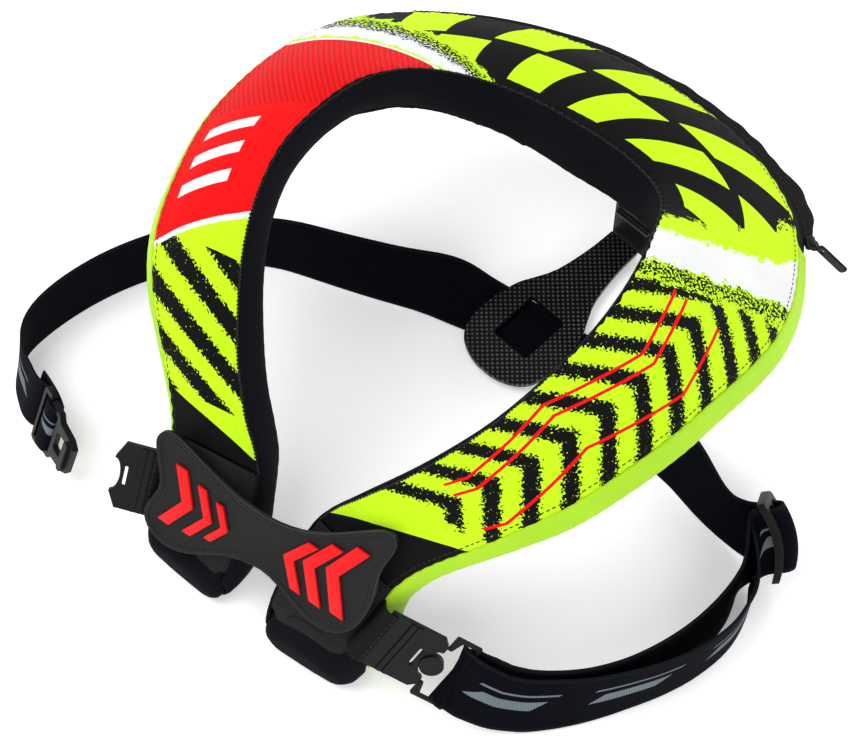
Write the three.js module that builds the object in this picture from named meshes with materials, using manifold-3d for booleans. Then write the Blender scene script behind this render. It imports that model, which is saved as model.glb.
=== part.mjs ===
import * as THREE from 'three';
import Module from 'manifold-3d';

const wasm = await Module();
wasm.setup();

// Collar sections from the front pad to the middle of the back, one row per section, in millimetres.
// crest: inner top edge, seam: outer top edge, low: outer lower edge, wall: inner lower edge.
const SECTIONS = [
  { crest: [22, -9, 19], seam: [68, -7, 20], low: [68, -6, 2], wall: [24, -9, 2] },
  { crest: [15, -3, 26], seam: [75, 0, 27], low: [75, 2, -2], wall: [18, -3, -2] },
  { crest: [14, 14, 52], seam: [78, 15, 55], low: [77, 32, -2], wall: [17, 34, -2] },
  { crest: [19, 43, 85], seam: [81, 34, 83], low: [84, 48, 52], wall: [20, 54, 42] },
  { crest: [36, 55, 111], seam: [93, 48, 103], low: [97, 58, 80], wall: [29, 72, 58] },
  { crest: [54, 72, 130], seam: [110, 63, 121], low: [113, 70, 98], wall: [47, 88, 86] },
  { crest: [69, 92, 147], seam: [127, 80, 139], low: [130, 84, 113], wall: [62, 102, 101] },
  { crest: [82, 113, 164], seam: [143, 104, 150], low: [147, 106, 122], wall: [80, 124, 119] },
  { crest: [93, 140, 183], seam: [156, 138, 156], low: [160, 139, 126], wall: [95, 150, 134] },
  { crest: [99, 172, 193], seam: [165, 174, 157], low: [169, 174, 126], wall: [105, 180, 142] },
  { crest: [98, 203, 193], seam: [169, 208, 152], low: [173, 209, 121], wall: [106, 208, 144] },
  { crest: [93, 232, 190], seam: [171, 240, 143], low: [175, 241, 112], wall: [102, 234, 141] },
  { crest: [84, 259, 178], seam: [169, 271, 133], low: [173, 273, 103], wall: [92, 259, 129] },
  { crest: [72, 285, 157], seam: [158, 305, 124], low: [162, 307, 97], wall: [78, 286, 105] },
  { crest: [56, 301, 143], seam: [127, 345, 117], low: [130, 348, 93], wall: [58, 300, 91] },
  { crest: [30, 308, 140], seam: [72, 373, 115], low: [73, 377, 93], wall: [31, 306, 86] },
  { crest: [0, 309, 140], seam: [0, 384, 114], low: [0, 388, 92], wall: [0, 306, 85] },
];
const BACK_ROW = SECTIONS.length - 1;
const LAST_ROW = 2 * BACK_ROW;
const BACK_SKEW = 8;
const CORNER = { crest: 7, seam: 7, low: 6, wall: 6 };
const BULGE = { top: 5, side: 2, bottom: 0, inner: 2.5 };
const CLOTH = 2;
const GAP = 0.6;
const CORE_DEPTH = CLOTH + 1.6 * GAP;
const COVER_START = 1;
const PRINT_START = 3;
const BAND_START = 1.45;
const BAND_END = 13.6;
const COVER_STOP = LAST_ROW - COVER_START;
const PRINT_STOP = LAST_ROW - PRINT_START;
const BAND_STOP = LAST_ROW - BAND_START;
const ZIP_STOP = LAST_ROW - BAND_END;
const JOIN = 0.02;

const STRAP_WIDTH = 40;
const STRAP_THICK = 1.8;
const STRAP_LIFT = 0.6;

// Strap courses, one row per place: middle of the strap in plan, height of its lower edge,
// and how far its upper edge leans in x and y per millimetre of width.
const STRAP_LEFT = [
  { x: 38, y: 248.5, lift: 0.6, leanX: 0, leanY: 1 },
  { x: 10, y: 248, lift: 0.6, leanX: 0, leanY: 1 },
  { x: -14, y: 247, lift: 0.6, leanX: 0, leanY: 1 },
  { x: -24, y: 244.5, lift: 0.6, leanX: 0, leanY: 1 },
  { x: -40, y: 237.5, lift: 0.6, leanX: 0, leanY: 0.85 },
  { x: -58, y: 227, lift: 0.6, leanX: 0, leanY: 0.6 },
  { x: -98, y: 211, lift: 0.6, leanX: 0, leanY: 0.45 },
  { x: -140, y: 195, lift: 0.6, leanX: 0, leanY: 0.33 },
  { x: -172, y: 169, lift: 0.6, leanX: -0.08, leanY: 0.22 },
  { x: -195, y: 138, lift: 0.6, leanX: -0.08, leanY: 0.16 },
  { x: -209, y: 108, lift: 0.6, leanX: -0.08, leanY: 0.17 },
  { x: -217, y: 75, lift: 0.6, leanX: -0.06, leanY: 0.18 },
  { x: -217, y: 52, lift: 0.6, leanX: 0, leanY: 0.22 },
  { x: -209, y: 36, lift: 0.6, leanX: 0.05, leanY: 0.28 },
  { x: -196, y: 27, lift: 0.6, leanX: 0.08, leanY: 0.34 },
  { x: -184, y: 22, lift: 0.6, leanX: 0.08, leanY: 0.36 },
  { x: -175, y: 18.5, lift: 0.6, leanX: 0.08, leanY: 0.36 },
];
const STRAP_RIGHT_BACK = [
  { x: 39.2, y: 248.5, lift: 0.6, leanX: 0, leanY: 1 },
  { x: 51, y: 248.2, lift: 0.6, leanX: 0, leanY: 1 },
  { x: 66, y: 246.5, lift: 0.6, leanX: 0, leanY: 0.97 },
  { x: 90, y: 240, lift: 0.6, leanX: 0, leanY: 0.82 },
  { x: 120, y: 232, lift: 0.6, leanX: 0.04, leanY: 0.64 },
  { x: 148, y: 224, lift: 0.6, leanX: 0.06, leanY: 0.46 },
  { x: 170, y: 219, lift: 0.6, leanX: 0.06, leanY: 0.34 },
  { x: 188, y: 217.5, lift: 0.6, leanX: -0.06, leanY: 0.3 },
  { x: 197, y: 218, lift: 0.6, leanX: -0.2, leanY: 0.32 },
];
const STRAP_RIGHT_LOOP = [
  { x: 221.5, y: 194, lift: 0.6, leanX: -0.16, leanY: 0.16 },
  { x: 227, y: 178, lift: 0.6, leanX: 0, leanY: 0.05 },
  { x: 231, y: 152, lift: 0.6, leanX: 0, leanY: 0 },
  { x: 226, y: 128, lift: 0.6, leanX: -0.03, leanY: 0.03 },
  { x: 217, y: 108, lift: 0.6, leanX: -0.06, leanY: 0.07 },
  { x: 204, y: 88, lift: 0.6, leanX: -0.1, leanY: 0.12 },
  { x: 190, y: 70, lift: 0.6, leanX: -0.16, leanY: 0.18 },
  { x: 176, y: 56, lift: 0.6, leanX: -0.2, leanY: 0.28 },
  { x: 163, y: 45, lift: 1, leanX: -0.18, leanY: 0.38 },
  { x: 150, y: 37, lift: 4, leanX: -0.05, leanY: 0.52 },
  { x: 138, y: 32, lift: 12, leanX: 0.16, leanY: 0.66 },
  { x: 131, y: 29.8, lift: 17.1, leanX: 0.221, leanY: 0.616 },
  { x: 126.9, y: 28.9, lift: 19.7, leanX: 0.221, leanY: 0.616 },
  { x: 121.8, y: 30.7, lift: 16.7, leanX: 0.221, leanY: 0.616 },
  { x: 125.1, y: 35.1, lift: 13.7, leanX: 0.221, leanY: 0.616 },
  { x: 130, y: 36.8, lift: 11.5, leanX: 0.221, leanY: 0.616 },
  { x: 137.5, y: 39, lift: 9, leanX: 0.16, leanY: 0.66 },
  { x: 148, y: 43.5, lift: 3, leanX: -0.05, leanY: 0.52 },
  { x: 160, y: 50.3, lift: 0.8, leanX: -0.18, leanY: 0.38 },
  { x: 172.7, y: 60.2, lift: 0.6, leanX: -0.2, leanY: 0.28 },
  { x: 186.3, y: 74, lift: 0.6, leanX: -0.18, leanY: 0.21 },
  { x: 199.4, y: 93, lift: 0.6, leanX: -0.15, leanY: 0.18 },
  { x: 209.7, y: 115.5, lift: 0.6, leanX: -0.14, leanY: 0.16 },
  { x: 216.4, y: 139.5, lift: 0.6, leanX: -0.14, leanY: 0.13 },
  { x: 218, y: 163, lift: 0.6, leanX: -0.13, leanY: 0.1 },
  { x: 212.5, y: 185, lift: 0.6, leanX: -0.09, leanY: 0.1 },
  { x: 204.5, y: 199.5, lift: 0.6, leanX: -0.06, leanY: 0.12 },
];

// Closure tab, one row per point round its edge: x, and the way up the slope of the pads.
const TAB_SLOPE = 58;
const TAB_RISE = 8.5;
const TAB_THICK = 3;
const TAB_STEPS = 96;
const TAB = [
  { x: -80, up: 68 },
  { x: -77.5, up: 75 },
  { x: -70, up: 78 },
  { x: -52, up: 74.5 },
  { x: -23, up: 68 },
  { x: 4, up: 68.5 },
  { x: 28, up: 77.5 },
  { x: 53, up: 97 },
  { x: 65, up: 106.5 },
  { x: 72, up: 108 },
  { x: 75.5, up: 102.5 },
  { x: 72.5, up: 82 },
  { x: 75, up: 60 },
  { x: 71, up: 39.5 },
  { x: 61, up: 28.5 },
  { x: 46, up: 25 },
  { x: 31, up: 28.8 },
  { x: 9, up: 34.5 },
  { x: -15, up: 28 },
  { x: -29, up: 18.5 },
  { x: -42, up: 10.5 },
  { x: -55, up: 7.5 },
  { x: -67, up: 11 },
  { x: -73, up: 20 },
  { x: -69, up: 42 },
  { x: -76, up: 57.5 },
];

// Red chevrons on the tab: place of the point, half height, arm and stroke, all in the tab's plane.
const CHEVRONS = [
  { x: -55, up: 42, half: 20, arm: 11, stroke: 8 },
  { x: -40, up: 41.5, half: 17, arm: 10, stroke: 6 },
  { x: -27, up: 43, half: 13, arm: 8, stroke: 5 },
  { x: 28, up: 54, half: 17, arm: 11, stroke: 7 },
  { x: 41, up: 58.5, half: 21, arm: 12, stroke: 8 },
  { x: 55, up: 64, half: 24, arm: 12, stroke: 9 },
];
const CHEVRON_THICK = 1;

const PLATE_TIP = [13, 212];
const PLATE_TURN = 7;
const PLATE_BASE = 4.6;
const PLATE_THICK = 3;
const PLATE_WINDOW = { from: 19, to: 54, half: 14 };
// Half width of the back plate, one row per place along its middle line from the tip.
const PLATE = [
  { along: -4, half: 5 },
  { along: -2.5, half: 12 },
  { along: 0.5, half: 19 },
  { along: 5, half: 25 },
  { along: 12, half: 29 },
  { along: 22, half: 31 },
  { along: 34, half: 31 },
  { along: 45, half: 29.5 },
  { along: 56, half: 27 },
  { along: 66, half: 22 },
  { along: 80, half: 16 },
  { along: 104, half: 12 },
  { along: 124, half: 11 },
];
const BRACKET = { width: 30, thick: 5, top: 81, flange: 22, rib: 2, ribHeight: 2.4, ribAt: [33, 44] };

const BLACK = 0x16171a;
const COLOURS = {
  cloth: 0x18191c,
  print: 0xc8ff2a,
  lime: 0xb4ec22,
  neoprene: 0x101217,
  rubber: 0x222325,
  red: 0xf21f1c,
  strap: 0x0b0c12,
  plastic: 0x1c1d1f,
  carbon: 0x2a2a2d,
};

const parts = [];

function add(name, geometry, colour) {
  const material = new THREE.MeshStandardMaterial({ color: colour, roughness: 0.7 });
  const mesh = new THREE.Mesh(geometry, material);
  mesh.name = name;
  parts.push(mesh);
}

function vec(p) {
  return new THREE.Vector3(p[0], p[1], p[2]);
}

function volumeOf(points, faces) {
  let sum = 0;
  for (const [a, b, c] of faces) {
    sum += points[a].dot(points[b].clone().cross(points[c]));
  }
  return sum / 6;
}

function solidOf(points, faces) {
  const flip = volumeOf(points, faces) < 0;
  const geometry = new THREE.BufferGeometry();
  const flat = [];
  points.forEach((p) => flat.push(p.x, p.y, p.z));
  const index = [];
  faces.forEach(([a, b, c]) => index.push(a, flip ? c : b, flip ? b : c));
  geometry.setAttribute('position', new THREE.Float32BufferAttribute(flat, 3));
  geometry.setIndex(index);
  geometry.computeVertexNormals();
  return geometry;
}

// Closed solid from rings of equal length. strip caps pair the ring's two halves, other caps fan out.
function loft(rings, strip) {
  const count = rings[0].length;
  const points = rings.flat();
  const faces = [];
  for (let i = 0; i + 1 < rings.length; i += 1) {
    for (let j = 0; j < count; j += 1) {
      const a = i * count + j;
      const b = i * count + ((j + 1) % count);
      faces.push([a, b, b + count], [a, b + count, a + count]);
    }
  }
  const ends = [0, (rings.length - 1) * count];
  ends.forEach((start, end) => {
    const cap = [];
    if (strip) {
      for (let j = 0; j + 1 < count / 2; j += 1) {
        const a = start + j;
        const b = start + j + 1;
        const c = start + count - 2 - j;
        const d = start + count - 1 - j;
        cap.push([a, c, b], [a, d, c]);
      }
    } else {
      const middle = new THREE.Vector3();
      for (let j = 0; j < count; j += 1) {
        middle.add(points[start + j]);
      }
      points.push(middle.divideScalar(count));
      for (let j = 0; j < count; j += 1) {
        cap.push([points.length - 1, start + ((j + 1) % count), start + j]);
      }
    }
    cap.forEach(([a, b, c]) => faces.push(end ? [a, c, b] : [a, b, c]));
  });
  return solidOf(points, faces);
}

function toManifold(geometry) {
  const position = geometry.attributes.position;
  const plain = Uint32Array.from({ length: position.count }, (_, i) => i);
  const index = geometry.index ? geometry.index.array : plain;
  const mesh = new wasm.Mesh({
    numProp: 3,
    vertProperties: Float32Array.from(position.array),
    triVerts: Uint32Array.from(index),
  });
  mesh.merge();
  return new wasm.Manifold(mesh);
}

function fromManifold(manifold) {
  const mesh = manifold.getMesh();
  const geometry = new THREE.BufferGeometry();
  geometry.setAttribute('position', new THREE.Float32BufferAttribute(mesh.vertProperties, 3));
  geometry.setIndex(Array.from(mesh.triVerts));
  geometry.computeVertexNormals();
  return geometry;
}

function edgeCurve(key) {
  const points = [];
  for (let i = 0; i <= LAST_ROW; i += 1) {
    const row = SECTIONS[i <= BACK_ROW ? i : LAST_ROW - i][key];
    const p = vec(row);
    p.x *= i < BACK_ROW ? -1 : 1;
    p.y += BACK_SKEW * (p.x / 130) * THREE.MathUtils.smoothstep(p.y, 290, 370);
    points.push(p);
  }
  return new THREE.CatmullRomCurve3(points, false, 'centripetal');
}

const EDGES = ['crest', 'seam', 'low', 'wall'];
const FACES = ['top', 'side', 'bottom', 'inner'];
const EDGE_CURVES = EDGES.map(edgeCurve);
const FACE_STEPS = { top: 4, side: 2, bottom: 1, inner: 2 };

// One section of the collar: rounded corners, faces bulging a little like stuffed cloth.
function outline(row) {
  const corners = EDGE_CURVES.map((curve) => curve.getPoint(row / LAST_ROW));
  const middle = new THREE.Vector3();
  corners.forEach((p) => middle.addScaledVector(p, 0.25));
  const cut = (i, j) => {
    const way = corners[j].clone().sub(corners[i]);
    const reach = Math.min(CORNER[EDGES[i]], way.length() * 0.3);
    return corners[i].clone().addScaledVector(way.normalize(), reach);
  };
  const ring = [];
  EDGES.forEach((edge, i) => {
    const next = (i + 1) % 4;
    const start = cut(i, next);
    const end = cut(next, i);
    const along = end.clone().sub(start).normalize();
    const out = start.clone().add(end).multiplyScalar(0.5).sub(middle);
    out.addScaledVector(along, -out.dot(along)).normalize();
    const steps = FACE_STEPS[FACES[i]];
    for (let k = 0; k <= steps; k += 1) {
      const t = k / steps;
      const p = start.clone().lerp(end, t);
      ring.push({ face: FACES[i], p: p.addScaledVector(out, BULGE[FACES[i]] * 4 * t * (1 - t)) });
    }
    const after = cut(next, (next + 1) % 4);
    for (const t of [0.46, 0.54]) {
      const p = end.clone().multiplyScalar((1 - t) * (1 - t));
      p.addScaledVector(corners[next], 2 * t * (1 - t)).addScaledVector(after, t * t);
      ring.push({ face: t < 0.5 ? FACES[i] : FACES[next], joint: t < 0.5 ? 1 : -1, p });
    }
  });
  return ring;
}

const ROWS = [];
for (let row = 0; row <= LAST_ROW; row += 0.5) {
  const inArm = Math.abs(Math.abs(row - BACK_ROW) - 7.5) < 3.4;
  if (!inArm || Number.isInteger(row)) {
    ROWS.push(row);
  }
}
// Rows where covers begin or meet, and half the joint left there.
const CUTS = [
  { row: COVER_START, joint: 3 * JOIN },
  { row: PRINT_START, joint: JOIN },
  { row: BAND_START, joint: 2 * JOIN },
  { row: BAND_END, joint: JOIN },
];
CUTS.forEach(({ row, joint }) => {
  [row, LAST_ROW - row].forEach((cut) => ROWS.push(cut - joint, cut + joint));
});
ROWS.push(BAND_START, BAND_STOP);
ROWS.sort((a, b) => a - b);

const GRID = ROWS.map(outline);
const RING = GRID[0].length;
// Surface normals; the two points of a corner joint share one, so neighbouring covers stay apart.
const NORMALS = GRID.map((ring, i) => ring.map((item, j) => {
  const before = GRID[Math.max(i - 1, 0)][j].p;
  const after = GRID[Math.min(i + 1, GRID.length - 1)][j].p;
  const first = item.joint === -1 ? j - 2 : j - 1;
  const last = item.joint === 1 ? j + 2 : j + 1;
  const down = ring[(first + RING) % RING].p;
  const up = ring[last % RING].p;
  return after.clone().sub(before).cross(up.clone().sub(down)).normalize();
}));
const OUTWARD = Math.sign(NORMALS[40][2].z) || 1;

function inset(i, j, depth) {
  return GRID[i][j].p.clone().addScaledVector(NORMALS[i][j], -OUTWARD * depth);
}

// Ring positions of one face, from the joint in the corner before it to the joint after it.
function faceRange(face) {
  const list = [];
  for (let j = 0; j < RING; j += 1) {
    if (GRID[0][j].face === face) {
      list.push(j);
    }
  }
  const jump = list.findIndex((j, k) => k > 0 && j !== list[k - 1] + 1);
  return jump > 0 ? list.slice(jump).concat(list.slice(0, jump)) : list;
}

// Cover pieces: face of the section, first and last row, and ring points left free at either edge.
const SKINS = {
  top_panel: { face: 'top', from: PRINT_START, to: PRINT_STOP, skip: 0, drop: 0 },
  front_cover_left: { face: 'top', from: COVER_START, to: PRINT_START, skip: 0, drop: 0 },
  front_cover_right: { face: 'top', from: PRINT_STOP, to: COVER_STOP, skip: 0, drop: 0 },
  inner_band: { face: 'inner', from: COVER_START, to: COVER_STOP, skip: 1, drop: 0 },
  outer_band_left: { face: 'side', from: BAND_START, to: BAND_END, skip: 0, drop: 1 },
  outer_band_right: { face: 'side', from: ZIP_STOP, to: BAND_STOP, skip: 0, drop: 1 },
  zip_band: { face: 'side', from: BAND_END, to: ZIP_STOP, skip: 0, drop: 1 },
};
const COVERED_FROM = { top: COVER_START, inner: COVER_START, side: BAND_START, bottom: LAST_ROW };

// True where a cover lies on this face of the section.
function covered(face, row) {
  return Math.min(row, LAST_ROW - row) > COVERED_FROM[face] - JOIN / 2;
}

function skin(size, outside, depth, margin) {
  const all = faceRange(size.face);
  const range = margin > 0 ? all : all.slice(size.skip, all.length - size.drop);
  const rings = [];
  ROWS.forEach((row, i) => {
    const inside = row > size.from - margin && row < size.to + margin;
    if (inside && covered(size.face, row)) {
      const outer = range.map((j) => inset(i, j, outside));
      const inner = range.map((j) => inset(i, j, depth)).reverse();
      rings.push(outer.concat(inner));
    }
  });
  return loft(rings, true);
}

function core() {
  const rings = ROWS.map((row, i) => GRID[i].map((item, j) => {
    return inset(i, j, covered(item.face, row) ? CORE_DEPTH : 0);
  }));
  const above = new THREE.BoxGeometry(1200, 1200, 600).translate(0, 200, 300);
  above.deleteAttribute('normal');
  above.deleteAttribute('uv');
  let body = toManifold(loft(rings, false)).intersect(toManifold(above));
  Object.values(SKINS).forEach((size) => {
    body = body.subtract(toManifold(skin(size, -1, CLOTH + GAP, 0.5)));
  });
  const bodies = body.decompose();
  bodies.sort((a, b) => b.volume() - a.volume());
  return fromManifold(bodies[0]);
}

const SKIN_COLOURS = {
  top_panel: COLOURS.print,
  front_cover_left: COLOURS.cloth,
  front_cover_right: COLOURS.cloth,
  inner_band: COLOURS.neoprene,
  outer_band_left: COLOURS.lime,
  outer_band_right: COLOURS.lime,
  zip_band: COLOURS.cloth,
};

add('collar_core', core(), COLOURS.neoprene);
Object.entries(SKINS).forEach(([name, size]) => add(name, skin(size, 0, CLOTH, -JOIN / 2), SKIN_COLOURS[name]));

// Zip tape: a wavy strip standing off the zip band around the back.
const ZIP = { wave: 2.2, waves: 15, thick: 3, stand: 0.6, reach: 7, height: 0.42, steps: 60 };

function zipRings() {
  const rings = [];
  const from = BAND_END + 0.2;
  const to = ZIP_STOP - 0.1;
  for (let k = 0; k <= ZIP.steps; k += 1) {
    const t = k / ZIP.steps;
    const row = from + (to - from) * t;
    const at = row / LAST_ROW;
    const seam = EDGE_CURVES[1].getPoint(at);
    const low = EDGE_CURVES[2].getPoint(at);
    const way = EDGE_CURVES[1].getTangent(at);
    const out = new THREE.Vector3(0, 0, 1).cross(way).normalize();
    const lift = ZIP.wave * Math.sin(2 * Math.PI * ZIP.waves * t);
    const root = seam.clone().lerp(low, ZIP.height);
    root.addScaledVector(out, BULGE.side + ZIP.stand);
    const tip = root.clone().addScaledVector(out, ZIP.reach);
    tip.z += lift;
    const half = new THREE.Vector3(0, 0, ZIP.thick / 2);
    const below = [root.clone().sub(half), tip.clone().sub(half)];
    const above = [tip.clone().add(half), root.clone().add(half)];
    rings.push(below.concat(above));
  }
  return rings;
}

add('back_zip', loft(zipRings(), false), BLACK);

function frameOf(xAxis, yAxis, origin) {
  const x = vec(xAxis).normalize();
  const y = vec(yAxis).addScaledVector(x, -vec(yAxis).dot(x)).normalize();
  const z = x.clone().cross(y);
  const matrix = new THREE.Matrix4().makeBasis(x, y, z);
  return matrix.setPosition(...origin);
}

function shapeOf(points) {
  return new THREE.Shape(points.map(([x, y]) => new THREE.Vector2(x, y)));
}

function holeOf(points) {
  return new THREE.Path(points.map(([x, y]) => new THREE.Vector2(x, y)));
}

function rounded(x0, y0, x1, y1, r, steps = 3) {
  const points = [];
  const middles = [[x1 - r, y0 + r, -90], [x1 - r, y1 - r, 0], [x0 + r, y1 - r, 90], [x0 + r, y0 + r, 180]];
  middles.forEach(([cx, cy, start]) => {
    for (let k = 0; k <= steps; k += 1) {
      const a = THREE.MathUtils.degToRad(start + (90 * k) / steps);
      points.push([cx + r * Math.cos(a), cy + r * Math.sin(a)]);
    }
  });
  return points;
}

function circle(cx, cy, r, steps = 20) {
  const points = [];
  for (let k = 0; k < steps; k += 1) {
    const a = (2 * Math.PI * k) / steps;
    points.push([cx + r * Math.cos(a), cy + r * Math.sin(a)]);
  }
  return points;
}

function sheet(points, holes, thick, base = 0) {
  const shape = shapeOf(points);
  holes.forEach((hole) => shape.holes.push(holeOf(hole)));
  const geometry = new THREE.ExtrudeGeometry(shape, { depth: thick, bevelEnabled: false });
  geometry.translate(0, 0, base);
  geometry.deleteAttribute('normal');
  geometry.deleteAttribute('uv');
  return geometry;
}

function joined(list) {
  return fromManifold(list.map(toManifold).reduce((a, b) => a.add(b)));
}

const slope = THREE.MathUtils.degToRad(TAB_SLOPE);
const TAB_PLACE = [0, -3, 25];
const TAB_FRAME = frameOf([1, 0, 0], [0, Math.cos(slope), Math.sin(slope)], TAB_PLACE);

// Smooth line through a row of points, as short steps.
function smooth(points, steps) {
  const curve = new THREE.SplineCurve(points.map(([x, y]) => new THREE.Vector2(x, y)));
  return curve.getPoints(steps).map((p) => [p.x, p.y]);
}

function tab() {
  const points = TAB.map((row) => vec([row.x, row.up, 0]));
  const curve = new THREE.CatmullRomCurve3(points, true, 'centripetal');
  const edge = curve.getPoints(TAB_STEPS).slice(1).map((p) => [p.x, p.y]);
  return sheet(edge, [], TAB_THICK, TAB_RISE - TAB_THICK / 2).applyMatrix4(TAB_FRAME);
}

add('closure_tab', tab(), COLOURS.rubber);

CHEVRONS.forEach((row, i) => {
  const way = row.x < 0 ? 1 : -1;
  const points = [
    [row.x + way * row.arm, row.up],
    [row.x, row.up + row.half],
    [row.x - way * row.stroke, row.up + row.half],
    [row.x + way * (row.arm - row.stroke), row.up],
    [row.x - way * row.stroke, row.up - row.half],
    [row.x, row.up - row.half],
  ];
  const base = TAB_RISE + TAB_THICK / 2 + GAP;
  add(`tab_chevron_${i + 1}`, sheet(points, [], CHEVRON_THICK, base).applyMatrix4(TAB_FRAME), COLOURS.red);
});

// Clip plate in its own plane: x runs out from the pad, y across the strap.
const CLIP = {
  thick: 3,
  notch: 11,
  slot: 14,
  ridge: 1.6,
  ridgeHigh: 1,
};
const CLIP_LEFT = {
  half: 21.5,
  corner: [4.7, 10],
  notchDeep: 4.5,
  slotFrom: 2,
  slotWide: 2,
  length: 25,
  ridges: [5.5, 9.5],
  origin: [-75.8, 13.9, 55.6],
  out: [-0.94, -0.442, 0.159],
  across: [-0.042, 0.616, 0.788],
};
const CLIP_RIGHT = {
  half: 20,
  corner: [4, 4],
  notchDeep: 7,
  slotFrom: 3,
  slotWide: 2.6,
  length: 38.3,
  ridges: [14.3, 18.3],
  origin: [80.5, 16.5, 58.5],
  out: [0.819, 0.303, -0.487],
  across: [0.221, 0.616, 0.755],
};
const CLIP_FRAME = { gap: 0.5, length: 14.3, arm: 4.6, hook: 11, bar: 2.2, button: 7 };

function clip(size, button) {
  const tip = size.length;
  const { half } = size;
  const [cornerLong, cornerWide] = size.corner;
  const points = [[0, -half], [tip - cornerLong, -half], [tip, -half + cornerWide]];
  for (let k = 0; k <= 8; k += 1) {
    const a = (Math.PI * k) / 8;
    points.push([tip - size.notchDeep * Math.sin(a), -CLIP.notch * Math.cos(a)]);
  }
  points.push([tip, half - cornerWide], [tip - cornerLong, half], [0, half]);
  const slotAt = tip - size.notchDeep - size.slotFrom;
  const slot = rounded(slotAt - size.slotWide, -CLIP.slot / 2, slotAt, CLIP.slot / 2, 0.9, 2).reverse();
  const list = [sheet(points, [slot], CLIP.thick)];
  size.ridges.forEach((at) => {
    const bar = rounded(at - CLIP.ridge, -half + 0.5, at + CLIP.ridge, half - 0.5, 0.5, 1);
    list.push(sheet(bar, [], CLIP.ridgeHigh + 0.5, CLIP.thick - 0.5));
  });
  if (button) {
    list.push(sheet(circle(tip - 1, 0, CLIP_FRAME.button), [], CLIP.thick + 1.2));
    list.push(sheet(rounded(slotAt + 0.4, -4, tip, 4, 1, 1), [], CLIP.thick));
  }
  return joined(list);
}

function clipFrame(size) {
  return frameOf(size.out, size.across, size.origin);
}

function leftClipFrame(size) {
  const matrix = frameOf(size.out, size.across, size.origin);
  const turn = new THREE.Matrix4().makeScale(1, -1, -1);
  return matrix.multiply(turn);
}

add('clip_plate_left', clip(CLIP_LEFT, false).applyMatrix4(leftClipFrame(CLIP_LEFT)), COLOURS.plastic);
add('clip_plate_right', clip(CLIP_RIGHT, true).applyMatrix4(clipFrame(CLIP_RIGHT)), COLOURS.plastic);

function strapFrame() {
  const start = CLIP_RIGHT.length + CLIP_FRAME.gap;
  const end = start + CLIP_FRAME.length;
  const half = CLIP_RIGHT.half + CLIP_FRAME.arm;
  const free = CLIP_RIGHT.half + 2.2;
  const points = [
    [start, -half],
    [end + CLIP_FRAME.bar, -half],
    [end + CLIP_FRAME.bar, half],
    [start, half],
    [start, half - CLIP_FRAME.hook],
    [start + 2.5, half - CLIP_FRAME.hook],
    [start + 5, free],
    [end, free],
    [end, -free],
    [start + 5, -free],
    [start + 2.5, -half + CLIP_FRAME.hook],
    [start, -half + CLIP_FRAME.hook],
  ];
  return sheet(points, [], CLIP.thick - 1, 0.5);
}

add('clip_frame_right', strapFrame().applyMatrix4(clipFrame(CLIP_RIGHT)), COLOURS.plastic);

// Ribbon of constant width along a course of rows.
function ribbon(rows, perRow) {
  const lean = (row) => {
    const rise = Math.sqrt(Math.max(0, 1 - row.leanX ** 2 - row.leanY ** 2));
    return new THREE.Vector3(row.leanX, row.leanY, rise);
  };
  const plan = new THREE.CatmullRomCurve3(rows.map((row) => vec([row.x, row.y, 0])), false, 'centripetal');
  const place = (t) => {
    const at = t * (rows.length - 1);
    const i = Math.min(Math.floor(at), rows.length - 2);
    const width = lean(rows[i]).lerp(lean(rows[i + 1]), at - i).normalize();
    const p = plan.getPoint(t);
    const half = (STRAP_WIDTH / 2) * width.z + (STRAP_THICK / 2) * Math.hypot(width.x, width.y);
    p.z = THREE.MathUtils.lerp(rows[i].lift, rows[i + 1].lift, at - i) + half;
    return { p, width };
  };
  const rings = [];
  const steps = (rows.length - 1) * perRow;
  for (let k = 0; k <= steps; k += 1) {
    const t = k / steps;
    const { p, width } = place(t);
    const ahead = place(Math.min(t + 0.5 / steps, 1)).p;
    const behind = place(Math.max(t - 0.5 / steps, 0)).p;
    const way = ahead.sub(behind).normalize();
    width.addScaledVector(way, -width.dot(way)).normalize();
    const face = way.clone().cross(width).normalize();
    const w = width.multiplyScalar(STRAP_WIDTH / 2);
    const h = face.multiplyScalar(STRAP_THICK / 2);
    p.z = Math.max(p.z, STRAP_LIFT + Math.abs(w.z) + Math.abs(h.z));
    rings.push([
      p.clone().sub(w).sub(h),
      p.clone().add(w).sub(h),
      p.clone().add(w).add(h),
      p.clone().sub(w).add(h),
    ]);
  }
  return loft(rings, false);
}

add('strap_left', ribbon(STRAP_LEFT, 3), COLOURS.strap);
add('strap_right_back', ribbon(STRAP_RIGHT_BACK, 3), COLOURS.strap);
add('strap_right_loop', ribbon(STRAP_RIGHT_LOOP, 3), COLOURS.strap);

// Three-bar slider in its own plane: x along the strap, y across it.
const SLIDER = { length: 22, width: 50, bar: 3, thick: 3.4 };
const SLIDER_RIGHT = {
  origin: [215.5, 212, 25],
  along: [0.233, -0.737, 0.635],
  across: [-0.585, 0.415, 0.698],
};
const SLIDER_LEFT = {
  origin: [-169.4, 16.5, 24.2],
  along: [0.93, -0.36, 0],
  across: [0.08, 0.36, 0.93],
  length: 9,
};

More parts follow.
